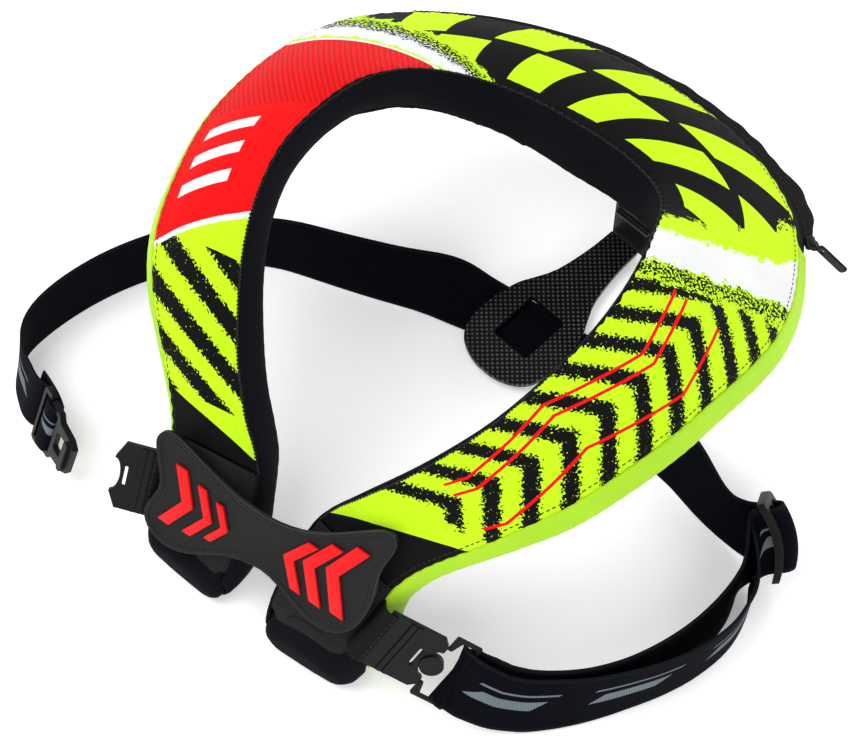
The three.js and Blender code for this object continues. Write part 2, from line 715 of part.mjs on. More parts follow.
function slider(size) {
  const long = size.length ?? SLIDER.length;
  const half = SLIDER.width / 2;
  const points = rounded(-long / 2, -half, long / 2, half, 3);
  const holes = [];
  const edges = size.length ? [[-long / 2 + 2.4, long / 2 - 2.4]] : [
    [-long / 2 + SLIDER.bar, -SLIDER.bar / 2],
    [SLIDER.bar / 2, long / 2 - SLIDER.bar],
  ];
  edges.forEach(([a, b]) => holes.push(rounded(a, -half + 4, b, half - 4, 1, 2).reverse()));
  const body = sheet(points, holes, SLIDER.thick, -SLIDER.thick / 2);
  return body.applyMatrix4(frameOf(size.along, size.across, size.origin));
}

add('slider_right', slider(SLIDER_RIGHT), COLOURS.plastic);
add('slider_left', slider(SLIDER_LEFT), COLOURS.plastic);

// Hook buckle at the free strap end: frame, waist and hooked tip in one plane.
const BUCKLE = { length: 31, thick: 4, gap: 0.5 };

function buckle() {
  const start = SLIDER_LEFT.length / 2 + BUCKLE.gap;
  const tip = start + BUCKLE.length;
  const points = [
    [start, -21],
    [start + 10.5, -21],
    [start + 14, -16],
    [tip - 5, -15],
    [tip, -11],
    [tip, 11],
    [tip - 5, 15],
    [start + 14, 16],
    [start + 10.5, 21],
    [start, 21],
  ];
  const window = rounded(start + 3, -17, start + 9.5, 17, 1, 2).reverse();
  const hook = rounded(start + 13, -8, start + 23, 8, 2, 2).reverse();
  const list = [sheet(points, [window, hook], BUCKLE.thick, -BUCKLE.thick / 2)];
  list.push(sheet(rounded(start + 23.5, -13, start + 27.5, 13, 1, 1), [], 3, BUCKLE.thick / 2 - 0.5));
  return joined(list).applyMatrix4(frameOf(SLIDER_LEFT.along, SLIDER_LEFT.across, SLIDER_LEFT.origin));
}

add('buckle_left', buckle(), COLOURS.plastic);

const turn = THREE.MathUtils.degToRad(PLATE_TURN);
const PLATE_FRAME = frameOf(
  [Math.cos(turn), -Math.sin(turn), 0],
  [Math.sin(turn), Math.cos(turn), 0],
  [...PLATE_TIP, PLATE_BASE],
);

function plate() {
  const left = smooth(PLATE.map((row) => [-row.half, row.along]), 30);
  const right = left.map(([x, y]) => [-x, y]).reverse();
  const size = PLATE_WINDOW;
  const window = sheet(rounded(-size.half, size.from, size.half, size.to, 2, 2), [], PLATE_THICK + 2, -1);
  const body = toManifold(sheet(right.concat(left), [], PLATE_THICK));
  return fromManifold(body.subtract(toManifold(window))).applyMatrix4(PLATE_FRAME);
}

add('back_plate', plate(), COLOURS.carbon);

function bracket() {
  const end = PLATE[PLATE.length - 1].along;
  const half = BRACKET.width / 2;
  const top = BRACKET.top;
  const list = [new THREE.BoxGeometry(BRACKET.width, BRACKET.thick, top).translate(0, end + 3, top / 2)];
  BRACKET.ribAt.forEach((at) => {
    const rib = new THREE.BoxGeometry(BRACKET.width - 4, BRACKET.rib + 1, BRACKET.ribHeight);
    list.push(rib.translate(0, end + 0.5 - BRACKET.rib / 2, at - PLATE_BASE));
  });
  list.push(new THREE.BoxGeometry(BRACKET.width + 8, BRACKET.flange, 3).translate(0, end + 6, top - 1.5));
  list.forEach((geometry) => {
    geometry.deleteAttribute('normal');
    geometry.deleteAttribute('uv');
  });
  const body = joined(list).applyMatrix4(PLATE_FRAME);
  return body.translate(half * 0.25, 0, 0);
}

add('plate_bracket', bracket(), COLOURS.plastic);

// Puller hanging off the right end of the zip.
const PULLER = { long: 22, wide: 7, thick: 1.6, clear: 2.2, out: [0.83, 0.1, -0.52], across: [0.5, 0, 0.85] };

function puller() {
  const eye = circle(4, 0, 1.6, 8).reverse();
  const body = sheet(rounded(0, -PULLER.wide / 2, PULLER.long, PULLER.wide / 2, 2), [eye], PULLER.thick);
  const origin = zipRings().at(-1)[1].clone();
  origin.addScaledVector(EDGE_CURVES[1].getTangent(ZIP_STOP / LAST_ROW), PULLER.clear);
  origin.z += ZIP.thick / 2;
  return body.applyMatrix4(frameOf(PULLER.out, PULLER.across, origin.toArray()));
}

add('zip_puller', puller(), COLOURS.plastic);

const group = new THREE.Group();
const box = new THREE.Box3();
parts.forEach((mesh) => {
  mesh.geometry.computeBoundingBox();
  box.union(mesh.geometry.boundingBox);
});
const centre = box.getCenter(new THREE.Vector3());
parts.forEach((mesh) => {
  mesh.geometry.translate(-centre.x, -centre.y, -box.min.z);
  group.add(mesh);
});

export default group;
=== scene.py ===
import math
from functools import partialmethod

import bpy
import numpy as np
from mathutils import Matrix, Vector, noise
from mathutils.bvhtree import BVHTree


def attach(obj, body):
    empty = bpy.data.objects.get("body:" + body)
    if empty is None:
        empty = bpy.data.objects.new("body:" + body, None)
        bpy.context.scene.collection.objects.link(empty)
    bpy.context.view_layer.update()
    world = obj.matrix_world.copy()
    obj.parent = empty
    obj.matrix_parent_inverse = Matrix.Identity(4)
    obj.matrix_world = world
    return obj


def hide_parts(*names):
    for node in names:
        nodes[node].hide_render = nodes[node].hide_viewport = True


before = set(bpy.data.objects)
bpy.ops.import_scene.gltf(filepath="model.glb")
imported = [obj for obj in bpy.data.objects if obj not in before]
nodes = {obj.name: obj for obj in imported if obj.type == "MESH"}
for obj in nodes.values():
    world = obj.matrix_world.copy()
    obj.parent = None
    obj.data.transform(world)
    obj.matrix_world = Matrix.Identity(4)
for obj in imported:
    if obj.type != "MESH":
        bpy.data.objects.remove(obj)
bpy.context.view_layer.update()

# Studio: a pale paper sweep, one broad soft light from the upper left and weaker ones around.
# The camera stands where the photograph was taken from: high, in front and to the right of the collar.
CAMERA = {"place": (0.3899, -0.5428, 1.2300), "azimuth": math.radians(37.56),
          "elevation": math.radians(61.18), "lens": 97.41, "sensor": 36}
PAPER = {"size": 16, "drop": 0.0004, "tone": (0.9, 0.9, 0.9, 1), "finish": (0.9, 0.1), "glow": 0.3}
SKY = {"horizon": 1.57, "zenith": 0.12}
WHITE = (1, 1, 1, 1)
LIGHTS = {
    "key": {"place": (-0.9, -0.5, 2.0), "width": 1.6, "power": 34},
    "fill": {"place": (1.5, -1.0, 1.4), "width": 1.4, "power": 12},
    "rim": {"place": (0.4, 1.8, 1.2), "width": 1.2, "power": 16},
}


def new_material(name):
    made = bpy.data.materials.new(name)
    made.use_nodes = True
    return made, made.node_tree, made.node_tree.nodes["Principled BSDF"]


class Value:
    """An output of a shader node. Arithmetic with it adds the nodes that work out the result."""

    def __init__(self, tree, socket):
        self.tree, self.socket = tree, socket

    def calc(self, operation, *others):
        return node(self.tree, "Math", self, *others, operation=operation)

    __add__ = partialmethod(calc, "ADD")
    __sub__ = partialmethod(calc, "SUBTRACT")
    __mul__ = partialmethod(calc, "MULTIPLY")
    __pow__ = partialmethod(calc, "POWER")
    __gt__ = partialmethod(calc, "GREATER_THAN")
    __lt__ = partialmethod(calc, "LESS_THAN")

    def within(self, low, high):
        return (self > low) * (self < high)


def feed(socket, value):
    """Links a value to a socket, or sets the socket to a plain number or colour."""
    if isinstance(value, Value):
        value.tree.links.new(value.socket, socket)
    elif value is not None:
        socket.default_value = value


def node(tree, kind, *inputs, output=0, **settings):
    """A shader node with its inputs fed in order; gives one of its outputs."""
    made = tree.nodes.new("ShaderNode" + kind)
    for key, value in settings.items():
        setattr(made, key, value)
    for socket, value in zip(made.inputs, inputs):
        feed(socket, value)
    return Value(tree, made.outputs[output])


def parts_of(vector):
    """The x, y and z of a vector."""
    split = node(vector.tree, "SeparateXYZ", vector).socket.node
    return [Value(vector.tree, part) for part in split.outputs]


def dress(shader, colour, roughness, specular):
    feed(shader.inputs["Base Color"], colour)
    feed(shader.inputs["Roughness"], roughness)
    feed(shader.inputs["Specular IOR Level"], specular)


def facing(way):
    """The turn that points a light or a camera this way."""
    return way.to_track_quat("-Z", "Y").to_euler()


bpy.ops.mesh.primitive_plane_add(size=PAPER["size"], location=(0, 0, -PAPER["drop"]))
floor = bpy.context.object
floor.name = "studio_floor"
paper, _, paper_shader = new_material("studio_paper")
dress(paper_shader, PAPER["tone"], *PAPER["finish"])
feed(paper_shader.inputs["Emission Color"], WHITE)
feed(paper_shader.inputs["Emission Strength"], PAPER["glow"])
floor.data.materials.append(paper)

world = bpy.data.worlds.new("studio_air")
world.use_nodes = True
air = world.node_tree
upwards = parts_of(node(air, "TexCoord", output="Generated"))[2]
glow = node(air, "MapRange", upwards, 0.0, 1.0, SKY["horizon"], SKY["zenith"])
feed(air.nodes["Background"].inputs["Color"], WHITE)
feed(air.nodes["Background"].inputs["Strength"], glow)
bpy.context.scene.world = world
bpy.context.scene.view_settings.view_transform = "Standard"

for name, facts in LIGHTS.items():
    bpy.ops.object.light_add(type="AREA", location=facts["place"])
    lamp = bpy.context.object
    lamp.name = "light_" + name
    lamp.data.size = facts["width"]
    lamp.data.energy = facts["power"]
    lamp.rotation_euler = facing(-Vector(facts["place"]))

to_camera = Vector((
    math.sin(CAMERA["azimuth"]) * math.cos(CAMERA["elevation"]),
    -math.cos(CAMERA["azimuth"]) * math.cos(CAMERA["elevation"]),
    math.sin(CAMERA["elevation"]),
))
bpy.ops.object.camera_add(location=CAMERA["place"], rotation=facing(-to_camera))
camera = bpy.context.object
camera.name = "photo_camera"
camera.data.lens = CAMERA["lens"]
camera.data.sensor_width = CAMERA["sensor"]
bpy.context.scene.camera = camera

# Foam body: two shaped foam arms joined at the back, faced below and round the pad ends with black
# knitted neoprene. It is what all the cover panels are sewn round.
MERGE_DISTANCE = 0.00002
FOAM = {"voxel": 0.0026, "smoothing": 0.5, "passes": 8, "fill": 0.9}
# A look: its two tones, finish as roughness and specular, size and depth of the relief, scale and detail
# of the cloud, and the shares of relief and cloud in the mix of the tones.
NEOPRENE = {"tones": ((0.0026, 0.0029, 0.0042, 1), (0.0070, 0.0076, 0.0100, 1)), "finish": (0.85, 0.04),
            "size": 1300.0, "depth": 0.00012, "cloud": (14.0, 4.0), "shares": (0.35, 0.6)}


def pick(piece):
    bpy.ops.object.select_all(action="DESELECT")
    piece.select_set(True)
    bpy.context.view_layer.objects.active = piece


def new_piece(name, mesh):
    """A piece of the collar with this mesh."""
    piece = bpy.data.objects.new(name, mesh)
    bpy.context.scene.collection.objects.link(piece)
    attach(piece, "root")
    return piece


def edit_whole(piece, operation, **settings):
    """Runs a mesh operation on all of a piece."""
    pick(piece)
    bpy.ops.object.mode_set(mode="EDIT")
    bpy.ops.mesh.select_all(action="SELECT")
    operation(**settings)
    bpy.ops.object.mode_set(mode="OBJECT")


def working_copy(node_name, name):
    """A new piece with the mesh of a CAD node, its loose triangles merged."""
    mesh = nodes[node_name].data.copy()
    mesh.materials.clear()
    while mesh.uv_layers:
        mesh.uv_layers.remove(mesh.uv_layers[0])
    piece = new_piece(name, mesh)
    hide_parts(node_name)
    pick(piece)
    bpy.ops.mesh.customdata_custom_splitnormals_clear()
    edit_whole(piece, bpy.ops.mesh.remove_doubles, threshold=MERGE_DISTANCE)
    return piece


def finish_with(piece, kind, **settings):
    """Adds a modifier with these settings and applies it."""
    pick(piece)
    modifier = piece.modifiers.new(kind.lower(), kind)
    for key, value in settings.items():
        setattr(modifier, key, value)
    bpy.ops.object.modifier_apply(modifier=modifier.name)


def paint(mask, under, over):
    """The colour over laid on the colour under where the mask is 1."""
    other_kinds = [None] * 5
    return node(mask.tree, "Mix", mask, *other_kinds, under, over, data_type="RGBA", output=2)


def mottle(place, scale, detail):
    return node(place.tree, "TexNoise", place, None, scale, detail)


def bumped(shader, height, depth):
    """Gives the shader a bump of that depth in metres."""
    made = height.tree.nodes.new("ShaderNodeBump")
    feed(made.inputs["Strength"], 1.0)
    feed(made.inputs["Distance"], depth)
    feed(made.inputs["Height"], height)
    feed(shader.inputs["Normal"], Value(height.tree, made.outputs["Normal"]))


def object_place(tree):
    return node(tree, "TexCoord", output="Object")


def knit_loops(tree, size):
    """Height of a fine knit, and the place it is read at."""
    place = object_place(tree)
    return node(tree, "TexVoronoi", place, None, size), place


def two_toned(name, relief, look):
    """A material between two tones, mixed by a fine relief, which is its bump too, and a soft cloud."""
    made, tree, shader = new_material(name)
    height, place = relief(tree, look["size"])
    cloud = mottle(place, *look["cloud"])
    crests = height ** look["crest"] if "crest" in look else height
    relief_share, cloud_share = look["shares"]
    shade = crests * relief_share + cloud * cloud_share
    dress(shader, paint(shade, *look["tones"]), *look["finish"])
    if "dulled" in look:
        gain, base = look["dulled"]
        feed(shader.inputs["Roughness"], cloud * gain + base)
    bumped(shader, height, look["depth"])
    return made


neoprene = two_toned("knit_neoprene", knit_loops, NEOPRENE)
foam_body = working_copy("collar_core", "foam_body")
finish_with(foam_body, "REMESH", mode="VOXEL", voxel_size=FOAM["voxel"])
finish_with(foam_body, "SMOOTH", factor=FOAM["smoothing"], iterations=FOAM["passes"])
foam_body.data.shade_smooth()
foam_body.data.materials.append(neoprene)

# Printed top panel: one sheet of satin polyester from arm to arm round the back, printed before it
# is cut, drawn over the foam and sewn to the panels round it, so that it puckers a little at the seams.
CLOTH = {"step": 0.002, "thick": 0.0018, "row_space": 0.006, "corner_rows": 12}
EDGE_ROLL = {"depth": 0.0011, "reach": 0.0018}
PUCKER = {"depth": 0.00035, "reach": 0.007, "pitch": 0.0085, "wander": 2.5, "wander_size": 0.03}
SWELL = {"depth": 0.0008, "size": 0.06}
NEAR_JOINT = 0.003


def mesh_points(mesh):
    flat = np.empty(len(mesh.vertices) * 3)
    mesh.vertices.foreach_get("co", flat)
    return flat.reshape(-1, 3)


def tree_of(name):
    mesh = nodes[name].data
    return BVHTree.FromPolygons([v.co for v in mesh.vertices], [tuple(p.vertices) for p in mesh.polygons])


def cad_net(name):
    """Merged points of a CAD node, and for each the set of points it shares a triangle with."""
    mesh = nodes[name].data
    flat = mesh_points(mesh)
    _, keep, same = np.unique(np.round(flat, 6), axis=0, return_index=True, return_inverse=True)
    corners = np.empty(len(mesh.loops), np.int32)
    mesh.loops.foreach_get("vertex_index", corners)
    linked = [set() for _ in keep]
    for triangle in same.ravel()[corners].reshape(-1, 3).tolist():
        for corner in triangle:
            linked[corner].update(triangle)
    return flat[keep], linked


def rings_from(points, linked, first):
    """The sections of a loft in their order, found by walking its mesh from the first points."""
    layer = set(first)
    seen = set()
    rings = []
    while layer:
        rings.append(points[sorted(layer)])
        seen |= layer
        layer = {j for i in layer for j in linked[i]} - seen
    return rings


def spline(points, knots, at):
    """Smooth curve through rows of points, read at the places at along its knots."""
    gaps = np.diff(knots)
    shape = (-1,) + (1,) * (points.ndim - 1)
    slopes = np.diff(points, axis=0) / gaps.reshape(shape)
    before, after = gaps[:-1].reshape(shape), gaps[1:].reshape(shape)
    inner = (slopes[:-1] * after + slopes[1:] * before) / (before + after)
    tangents = np.concatenate([slopes[:1], inner, slopes[-1:]])
    k = np.clip(np.searchsorted(knots, at, side="right") - 1, 0, len(gaps) - 1)
    gap = gaps[k].reshape(shape)
    t = ((at - knots[k]) / gaps[k]).reshape(shape)
    start, end = points[k], points[k + 1]
    curve = start * (1 + 2 * t) * (1 - t) ** 2 + end * t ** 2 * (3 - 2 * t)
    return curve + gap * (tangents[k] * t * (1 - t) ** 2 + tangents[k + 1] * t ** 2 * (t - 1))


def chord(points):
    """Length along a row of points, from its first one."""
    return np.concatenate([[0], np.cumsum(np.linalg.norm(np.diff(points, axis=0), axis=1))])


def read_at(at, length, points):
    """Points of a row read at these lengths along it, in straight lines from point to point."""
    return np.stack([np.interp(at, length, points[:, k]) for k in range(3)], axis=-1)


def even_steps(length, step):
    return np.linspace(0, length, 1 + round(length / step))


def unit(vectors):
    return vectors / np.linalg.norm(vectors, axis=-1, keepdims=True)


body_tree = tree_of("collar_core")


def cover_grid(name, is_first, across):
    """Outer face of a cover as a fine grid: rows along the collar, columns in the way of across."""
    rows = []
    way = Vector(across)
    points, linked = cad_net(name)
    for ring in rings_from(points, linked, [i for i, point in enumerate(points) if is_first(point)]):
        far = [body_tree.find_nearest(point)[3] for point in ring]
        outer = ring[np.argsort(far)[len(ring) // 2:]]
        middle = outer.mean(0)
        axis = np.linalg.svd(outer - middle)[2][0]
        axis *= np.sign(axis @ way)
        way = Vector(axis)
        row = outer[np.argsort((outer - middle) @ axis)]
        if rows and np.linalg.norm(row.mean(0) - rows[-1].mean(0)) < CLOTH["row_space"]:
            continue
        rows.append(row)
    rows = np.array(rows)
    along = chord(rows.mean(1))
    fine = spline(rows, along, even_steps(along[-1], CLOTH["step"]))
    columns = np.swapaxes(fine, 0, 1)
    gaps = np.linalg.norm(np.diff(columns, axis=0), axis=2).mean(1)
    width = np.concatenate([[0], np.cumsum(gaps)])
    return np.swapaxes(spline(columns, width, even_steps(width[-1], CLOTH["step"])), 0, 1)


def grid_places(grid):
    """Metres along the collar and metres across it from the middle line, for every point of a grid."""
    along = np.repeat(chord(grid.mean(1))[:, None], grid.shape[1], axis=1)
    steps = np.linalg.norm(np.diff(grid, axis=1), axis=2)
    across = np.concatenate([np.zeros((len(grid), 1)), np.cumsum(steps, axis=1)], axis=1)
    return along, across - across[:, -1:] / 2


def grid_normals(grid):
    return unit(np.cross(np.gradient(grid, axis=0), np.gradient(grid, axis=1)))


def outward(grid, normals):
    """1 where these normals point away from the foam, else -1."""
    middle = len(grid) // 2, grid.shape[1] // 2
    foot = np.array(body_tree.find_nearest(grid[middle])[0])
    return np.sign(normals[middle] @ (grid[middle] - foot))


def grid_piece(name, grid, flip):
    """A quad mesh on a grid, with its places as the UV map cut and metres from its first edge as hem."""
    rows, columns = grid.shape[:2]
    index = np.arange(rows * columns).reshape(rows, columns)
    corners = [index[:-1, :-1], index[1:, :-1], index[1:, 1:], index[:-1, 1:]]
    faces = np.stack(corners[::-1] if flip else corners, axis=-1).reshape(-1, 4)
    mesh = bpy.data.meshes.new(name)
    mesh.from_pydata(grid.reshape(-1, 3).tolist(), [], faces.tolist())
    along, across = grid_places(grid)
    layer = mesh.uv_layers.new(name="cut")
    places = np.stack([along.ravel(), across.ravel()], axis=1)
    layer.data.foreach_set("uv", places[faces.ravel()].astype(np.float32).ravel())
    hem = mesh.attributes.new("hem", "FLOAT", "POINT")
    hem.data.foreach_set("value", (across - across[:, :1]).astype(np.float32).ravel())
    return new_piece(name, mesh)


def round_end(grid, radius):
    """Ends a grid in rounded corners of this radius at its last row."""
    along = chord(grid.mean(1))
    turns = np.linspace(0, math.pi / 2, CLOTH["corner_rows"])
    plain = along[along < along[-1] - radius - CLOTH["step"]]
    rows = spline(grid, along, np.concatenate([plain, along[-1] - radius * (1 - np.sin(turns))]))
    insets = np.concatenate([0 * plain, radius * (1 - np.cos(turns))])
    shaped = []
    for row, inset in zip(rows, insets):
        width = chord(row)
        shaped.append(read_at(np.linspace(inset, width[-1] - inset, len(row)), width, row))
    return np.array(shaped)


def sewn_cover(node_name, name, slot, is_first, across, pucker_share=1.0, corner=0.0, roll=1.0,
               rolled=(True, True)):
    """A cover panel on its foam: softly uneven, rolled in at its edges and puckered by the seams."""
    grid = cover_grid(node_name, is_first, across)
    if corner:
        grid = round_end(grid, corner)
    along, sideways = grid_places(grid)
    normals = grid_normals(grid)
    side = outward(grid, normals)
    to_edge = np.minimum(sideways - sideways[:, :1], sideways[:, -1:] - sideways)
    for is_rolled, to_end in zip(rolled, (along, along[-1:] - along)):
        if is_rolled:
            to_edge = np.minimum(to_edge, to_end)
    lift = np.empty(along.shape)
    for place in np.ndindex(along.shape):
        point = Vector(grid[place])
        wander = PUCKER["wander"] * noise.noise(point / PUCKER["wander_size"])
        fold = math.sin(2 * math.pi * along[place] / PUCKER["pitch"] + wander)
        pucker = pucker_share * PUCKER["depth"] * fold * math.exp(-to_edge[place] / PUCKER["reach"])
        lift[place] = SWELL["depth"] * noise.noise(point / SWELL["size"]) + pucker
    lift -= roll * EDGE_ROLL["depth"] * np.exp(-((to_edge / (roll * EDGE_ROLL["reach"])) ** 2))
    grid = grid + (side * lift)[..., None] * normals
    piece = grid_piece(name, grid, side < 0)
    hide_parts(node_name)
    finish_with(piece, "SOLIDIFY", thickness=CLOTH["thick"], offset=-1)
    piece.data.shade_smooth()
    return piece, grid


def near(name):
    """Test for points that lie close to another CAD node."""
    tree = tree_of(name)
    return lambda point: tree.find_nearest(point)[3] < NEAR_JOINT


def sewn_on(piece, grid, cloth):
    piece.data.materials.append(cloth)


LIME = (0.53, 0.86, 0.014, 1)
INK_BLACK = (0.0022, 0.0022, 0.0025, 1)
INK_THIN = (0.013, 0.013, 0.014, 1)
INK_RED = (0.84, 0.005, 0.006, 1)
INK_DEEP_RED = (0.55, 0.004, 0.006, 1)
INK_WHITE = (0.76, 0.77, 0.78, 1)
PRINT_CLOTH = {"cell": 0.0011, "depth": 0.00016, "finish": (0.6, 0.05), "cloud": (30.0, 3.0),
               "shares": (0.10, 0.16), "ground": 0.80, "crest": 3.0}
# Slopes of the slanted lines, and size and spread of the ragged edges that a dry brush leaves.
SLOPE = {"lean": 0.55, "counter": -0.8, "arrow": -0.75, "nose_left": -0.45, "nose_right": 0.9}
RAGGED = {"fine": (0.0016, 0.016), "broad": (0.007, 0.02), "detail": 3.0}
SPECKLE = (620.0, 2.0)
# Motifs of the print: the stretch along the cloth that each fills, in metres, pitch and share of its
# stripes, and the speckle above which its ink covers.
ARROWS = {"stretch": (0.655, 0.862), "pitch": 0.024, "share": 0.46, "cover": 0.31}
FRONT_BARS = {"stretch": (0.03, 0.118), "pitch": 0.031, "share": 0.5, "cover": 0.30}
CHECKS = {"stretch": (0.345, 0.585), "pitch": 0.058, "share": 0.52, "middle": 0.004, "gap": 0.0022,
          "inner_rim": -0.031}
WHITE_STROKES = ((0.297, 0.327), (0.607, 0.638))
DUST = {"stretches": ((0.318, 0.338), (0.640, 0.652)), "cover": 0.47}
RED_PANEL = {"border": (0.126, 0.292), "stretch": (0.1295, 0.2885), "hatched": (0.205, 0.289),
             "pitch": 0.0042, "share": 0.5}
TICKS = {"stretch": (0.150, 0.201), "pitch": 0.018, "share": 0.42, "width": (-0.012, 0.020)}
PIPING = {"stretch": (0.668, 0.842), "start": 0.655, "turn": 0.058, "slope": 0.22, "half": 0.0009,
          "shifts": (-0.022, -0.014, 0.010)}
NOSE = {"left": 0.020, "right": 0.034}
HEM_THREAD = 0.0012


def cut_map(tree):
    """Metres along and across the flat cloth, and the map itself."""
    place = node(tree, "UVMap", uv_map="cut")
    along, across, _ = parts_of(place)
    return along, across, place


def rough(place, size, spread):
    """Ragged offset in metres, for the edges of a dry brush stroke."""
    return (mottle(place, 1 / size, RAGGED["detail"]) - 0.5) * spread


def stripes(value, motif):
    """Mask of repeated stripes, each a share of the pitch wide."""
    return (value * (1 / motif["pitch"])).calc("FRACT") < motif["share"]


def waves(value, pitch):
    return (value * (2 * math.pi / pitch)).calc("SINE")


def plain_weave(tree, cell):
    """Height of crossing threads, one over the other, cell metres apart, and the place it is read at."""
    along, across, place = cut_map(tree)
    return waves(along, cell) * waves(across, cell) * 0.5 + 0.5, place


def team_print(length):
    """Sublimation print in flat colours: slanted blocks, ragged strokes and thin piping lines."""
    made, tree, shader = new_material("team_print")
    along, across, place = cut_map(tree)
    lean, counter, nose_left, nose_right = (
        across * SLOPE[way] + along for way in ("lean", "counter", "nose_left", "nose_right"))
    arrow = across.calc("ABSOLUTE") * SLOPE["arrow"] + along
    edge = rough(place, *RAGGED["fine"])
    ragged = lean + edge + rough(place, *RAGGED["broad"])
    speckle = mottle(place, *SPECKLE)
    weave, _ = plain_weave(tree, PRINT_CLOTH["cell"])
    black = paint(weave ** PRINT_CLOTH["crest"], INK_BLACK, INK_THIN)
    colour = LIME

    for way, reach, motif in ((arrow, ragged, ARROWS), (counter, along, FRONT_BARS)):
        bars = stripes(way + edge, motif) * reach.within(*motif["stretch"]) * (speckle > motif["cover"])
        colour = paint(bars, colour, black)

    on_back = ragged.within(*CHECKS["stretch"])
    colour = paint(on_back, colour, black)
    upper, lower = stripes(counter, CHECKS), stripes(counter + CHECKS["pitch"] / 2, CHECKS)
    blocks = paint(across > CHECKS["middle"], upper, lower)
    off_middle = (across - CHECKS["middle"]).calc("ABSOLUTE") > CHECKS["gap"]
    checks = blocks * on_back * (across > CHECKS["inner_rim"]) * off_middle
    colour = paint(checks, colour, LIME)

    for stretch in WHITE_STROKES:
        colour = paint(ragged.within(*stretch), colour, INK_WHITE)
    for stretch in DUST["stretches"]:
        colour = paint(ragged.within(*stretch) * (speckle > DUST["cover"]), colour, black)

    colour = paint(lean.within(*RED_PANEL["border"]), colour, INK_WHITE)
    hatch = stripes(counter, RED_PANEL) * lean.within(*RED_PANEL["hatched"])
    colour = paint(lean.within(*RED_PANEL["stretch"]), colour, paint(hatch, INK_RED, INK_DEEP_RED))
    ticks = stripes(lean - TICKS["stretch"][0], TICKS) * lean.within(*TICKS["stretch"])
    colour = paint(ticks * across.within(*TICKS["width"]), colour, INK_WHITE)

    zigzag = (along - PIPING["start"]).calc("PINGPONG", PIPING["turn"])
    for shift in PIPING["shifts"]:
        line = across - (zigzag * PIPING["slope"] + shift)
        thin = line.within(-PIPING["half"], PIPING["half"]) * along.within(*PIPING["stretch"])
        colour = paint(thin, colour, INK_RED)

    from_edge = node(tree, "Attribute", attribute_name="hem", output="Fac")
    for mask in (nose_left < NOSE["left"], nose_right > length - NOSE["right"], from_edge < HEM_THREAD):
        colour = paint(mask, colour, black)

    weave_share, cloud_share = PRINT_CLOTH["shares"]
    ground = mottle(place, *PRINT_CLOTH["cloud"]) * cloud_share + PRINT_CLOTH["ground"]
    toned = tree.nodes.new("ShaderNodeHueSaturation")
    feed(toned.inputs["Value"], weave * weave_share + ground)
    feed(toned.inputs["Color"], colour)
    dress(shader, Value(tree, toned.outputs[0]), *PRINT_CLOTH["finish"])
    bumped(shader, weave, PRINT_CLOTH["depth"])
    return made


printed_panel, print_grid = sewn_cover(
    "top_panel", "printed_panel", "print_fabric", near("front_cover_left"), (-1, 0, 0),
    rolled=(False, False))
sewn_on(printed_panel, print_grid, team_print(grid_places(print_grid)[0].max()))

# Pad covers: black woven polyester over the two front pads, sewn to the print above and to the
# neoprene roll below. The weave is open enough to show as small light dots.
PAD_COVER = {"pucker_share": 0.15, "corner": 0.011, "roll": 1.3, "rolled": (False, True)}
PAD_ACROSS = {"left": (-1, 0, 0), "right": (1, 0, 0)}
POLYESTER = {"tones": ((0.0040, 0.0040, 0.0043, 1), (0.034, 0.034, 0.035, 1)), "finish": (0.75, 0.07),
             "size": 0.0013, "depth": 0.0002, "crest": 3.0, "cloud": (40.0, 3.0), "shares": (0.7, 0.35)}
polyester = two_toned("dotted_polyester", plain_weave, POLYESTER)
pad_grids = {}
for side, across in PAD_ACROSS.items():
    pad, pad_grids[side] = sewn_cover(
        "front_cover_" + side, "pad_cover_" + side, "black_fabric", near("top_panel"), across, **PAD_COVER)
    sewn_on(pad, pad_grids[side], polyester)

# Neck lining: one soft band of knit-faced neoprene round the neck side, from pad to pad, where it
# touches the skin. It is sewn to the print along the crest and turned in at its lower edge.
LINING_FRONT = -0.1925
FRONT_MIDDLE = -0.0068
UPWARDS = (0, 0, 1)
lining = sewn_cover(
    "inner_band", "neck_lining", "neoprene",
    lambda point: point[1] < LINING_FRONT and point[0] < FRONT_MIDDLE, UPWARDS, pucker_share=0.25)
sewn_on(*lining, neoprene)

# Lime bands: plain satin polyester along both outer sides, and a black seat for the zip between them
# round the back. They are sewn to the print along the outer seam.
LIME_CLOTH = {"tones": ((0.29, 0.55, 0.006, 1), (0.43, 0.75, 0.012, 1)), "finish": (0.55, 0.25),
              "size": 0.0011, "depth": 0.00016, "cloud": (24.0, 4.0), "shares": (0.2, 0.8)}
lime_cloth = two_toned("lime_polyester", plain_weave, LIME_CLOTH)
for side in ("left", "right"):
    band = sewn_cover("outer_band_" + side, "lime_band_" + side, "lime_fabric", near("zip_band"), UPWARDS,
                      pucker_share=0.5)
    sewn_on(*band, lime_cloth)
seat = sewn_cover("zip_band", "zip_seat", "black_fabric", near("outer_band_left"), UPWARDS)
sewn_on(*seat, polyester)

# Seams: a black overlock zigzag along the crest, where print and lining meet, and lockstitch rows
# along the outer seam and round the lower edges of the pad covers. The thread is spun polyester.
STITCH = {"length": 0.0026, "width": 0.0008, "pitch": 0.0036}
OVERLOCK = {"length": 0.0027, "width": 0.0009, "pitch": 0.0011, "slant": math.radians(40)}
STITCH_FLATNESS = 0.8
SEAM_INSET = {"crest": 0.0009, "outer": 0.0034, "pad_end": 0.0034, "pad_corner": 0.0045, "pad_side": 0.0040}
THREAD = {"tones": ((0.004, 0.004, 0.005, 1), (0.020, 0.020, 0.022, 1)), "finish": (0.6, 0.2),
          "twist": (2200.0, 2.0), "depth": 0.00005, "sheen": 0.04, "sheen_roughness": 0.4}


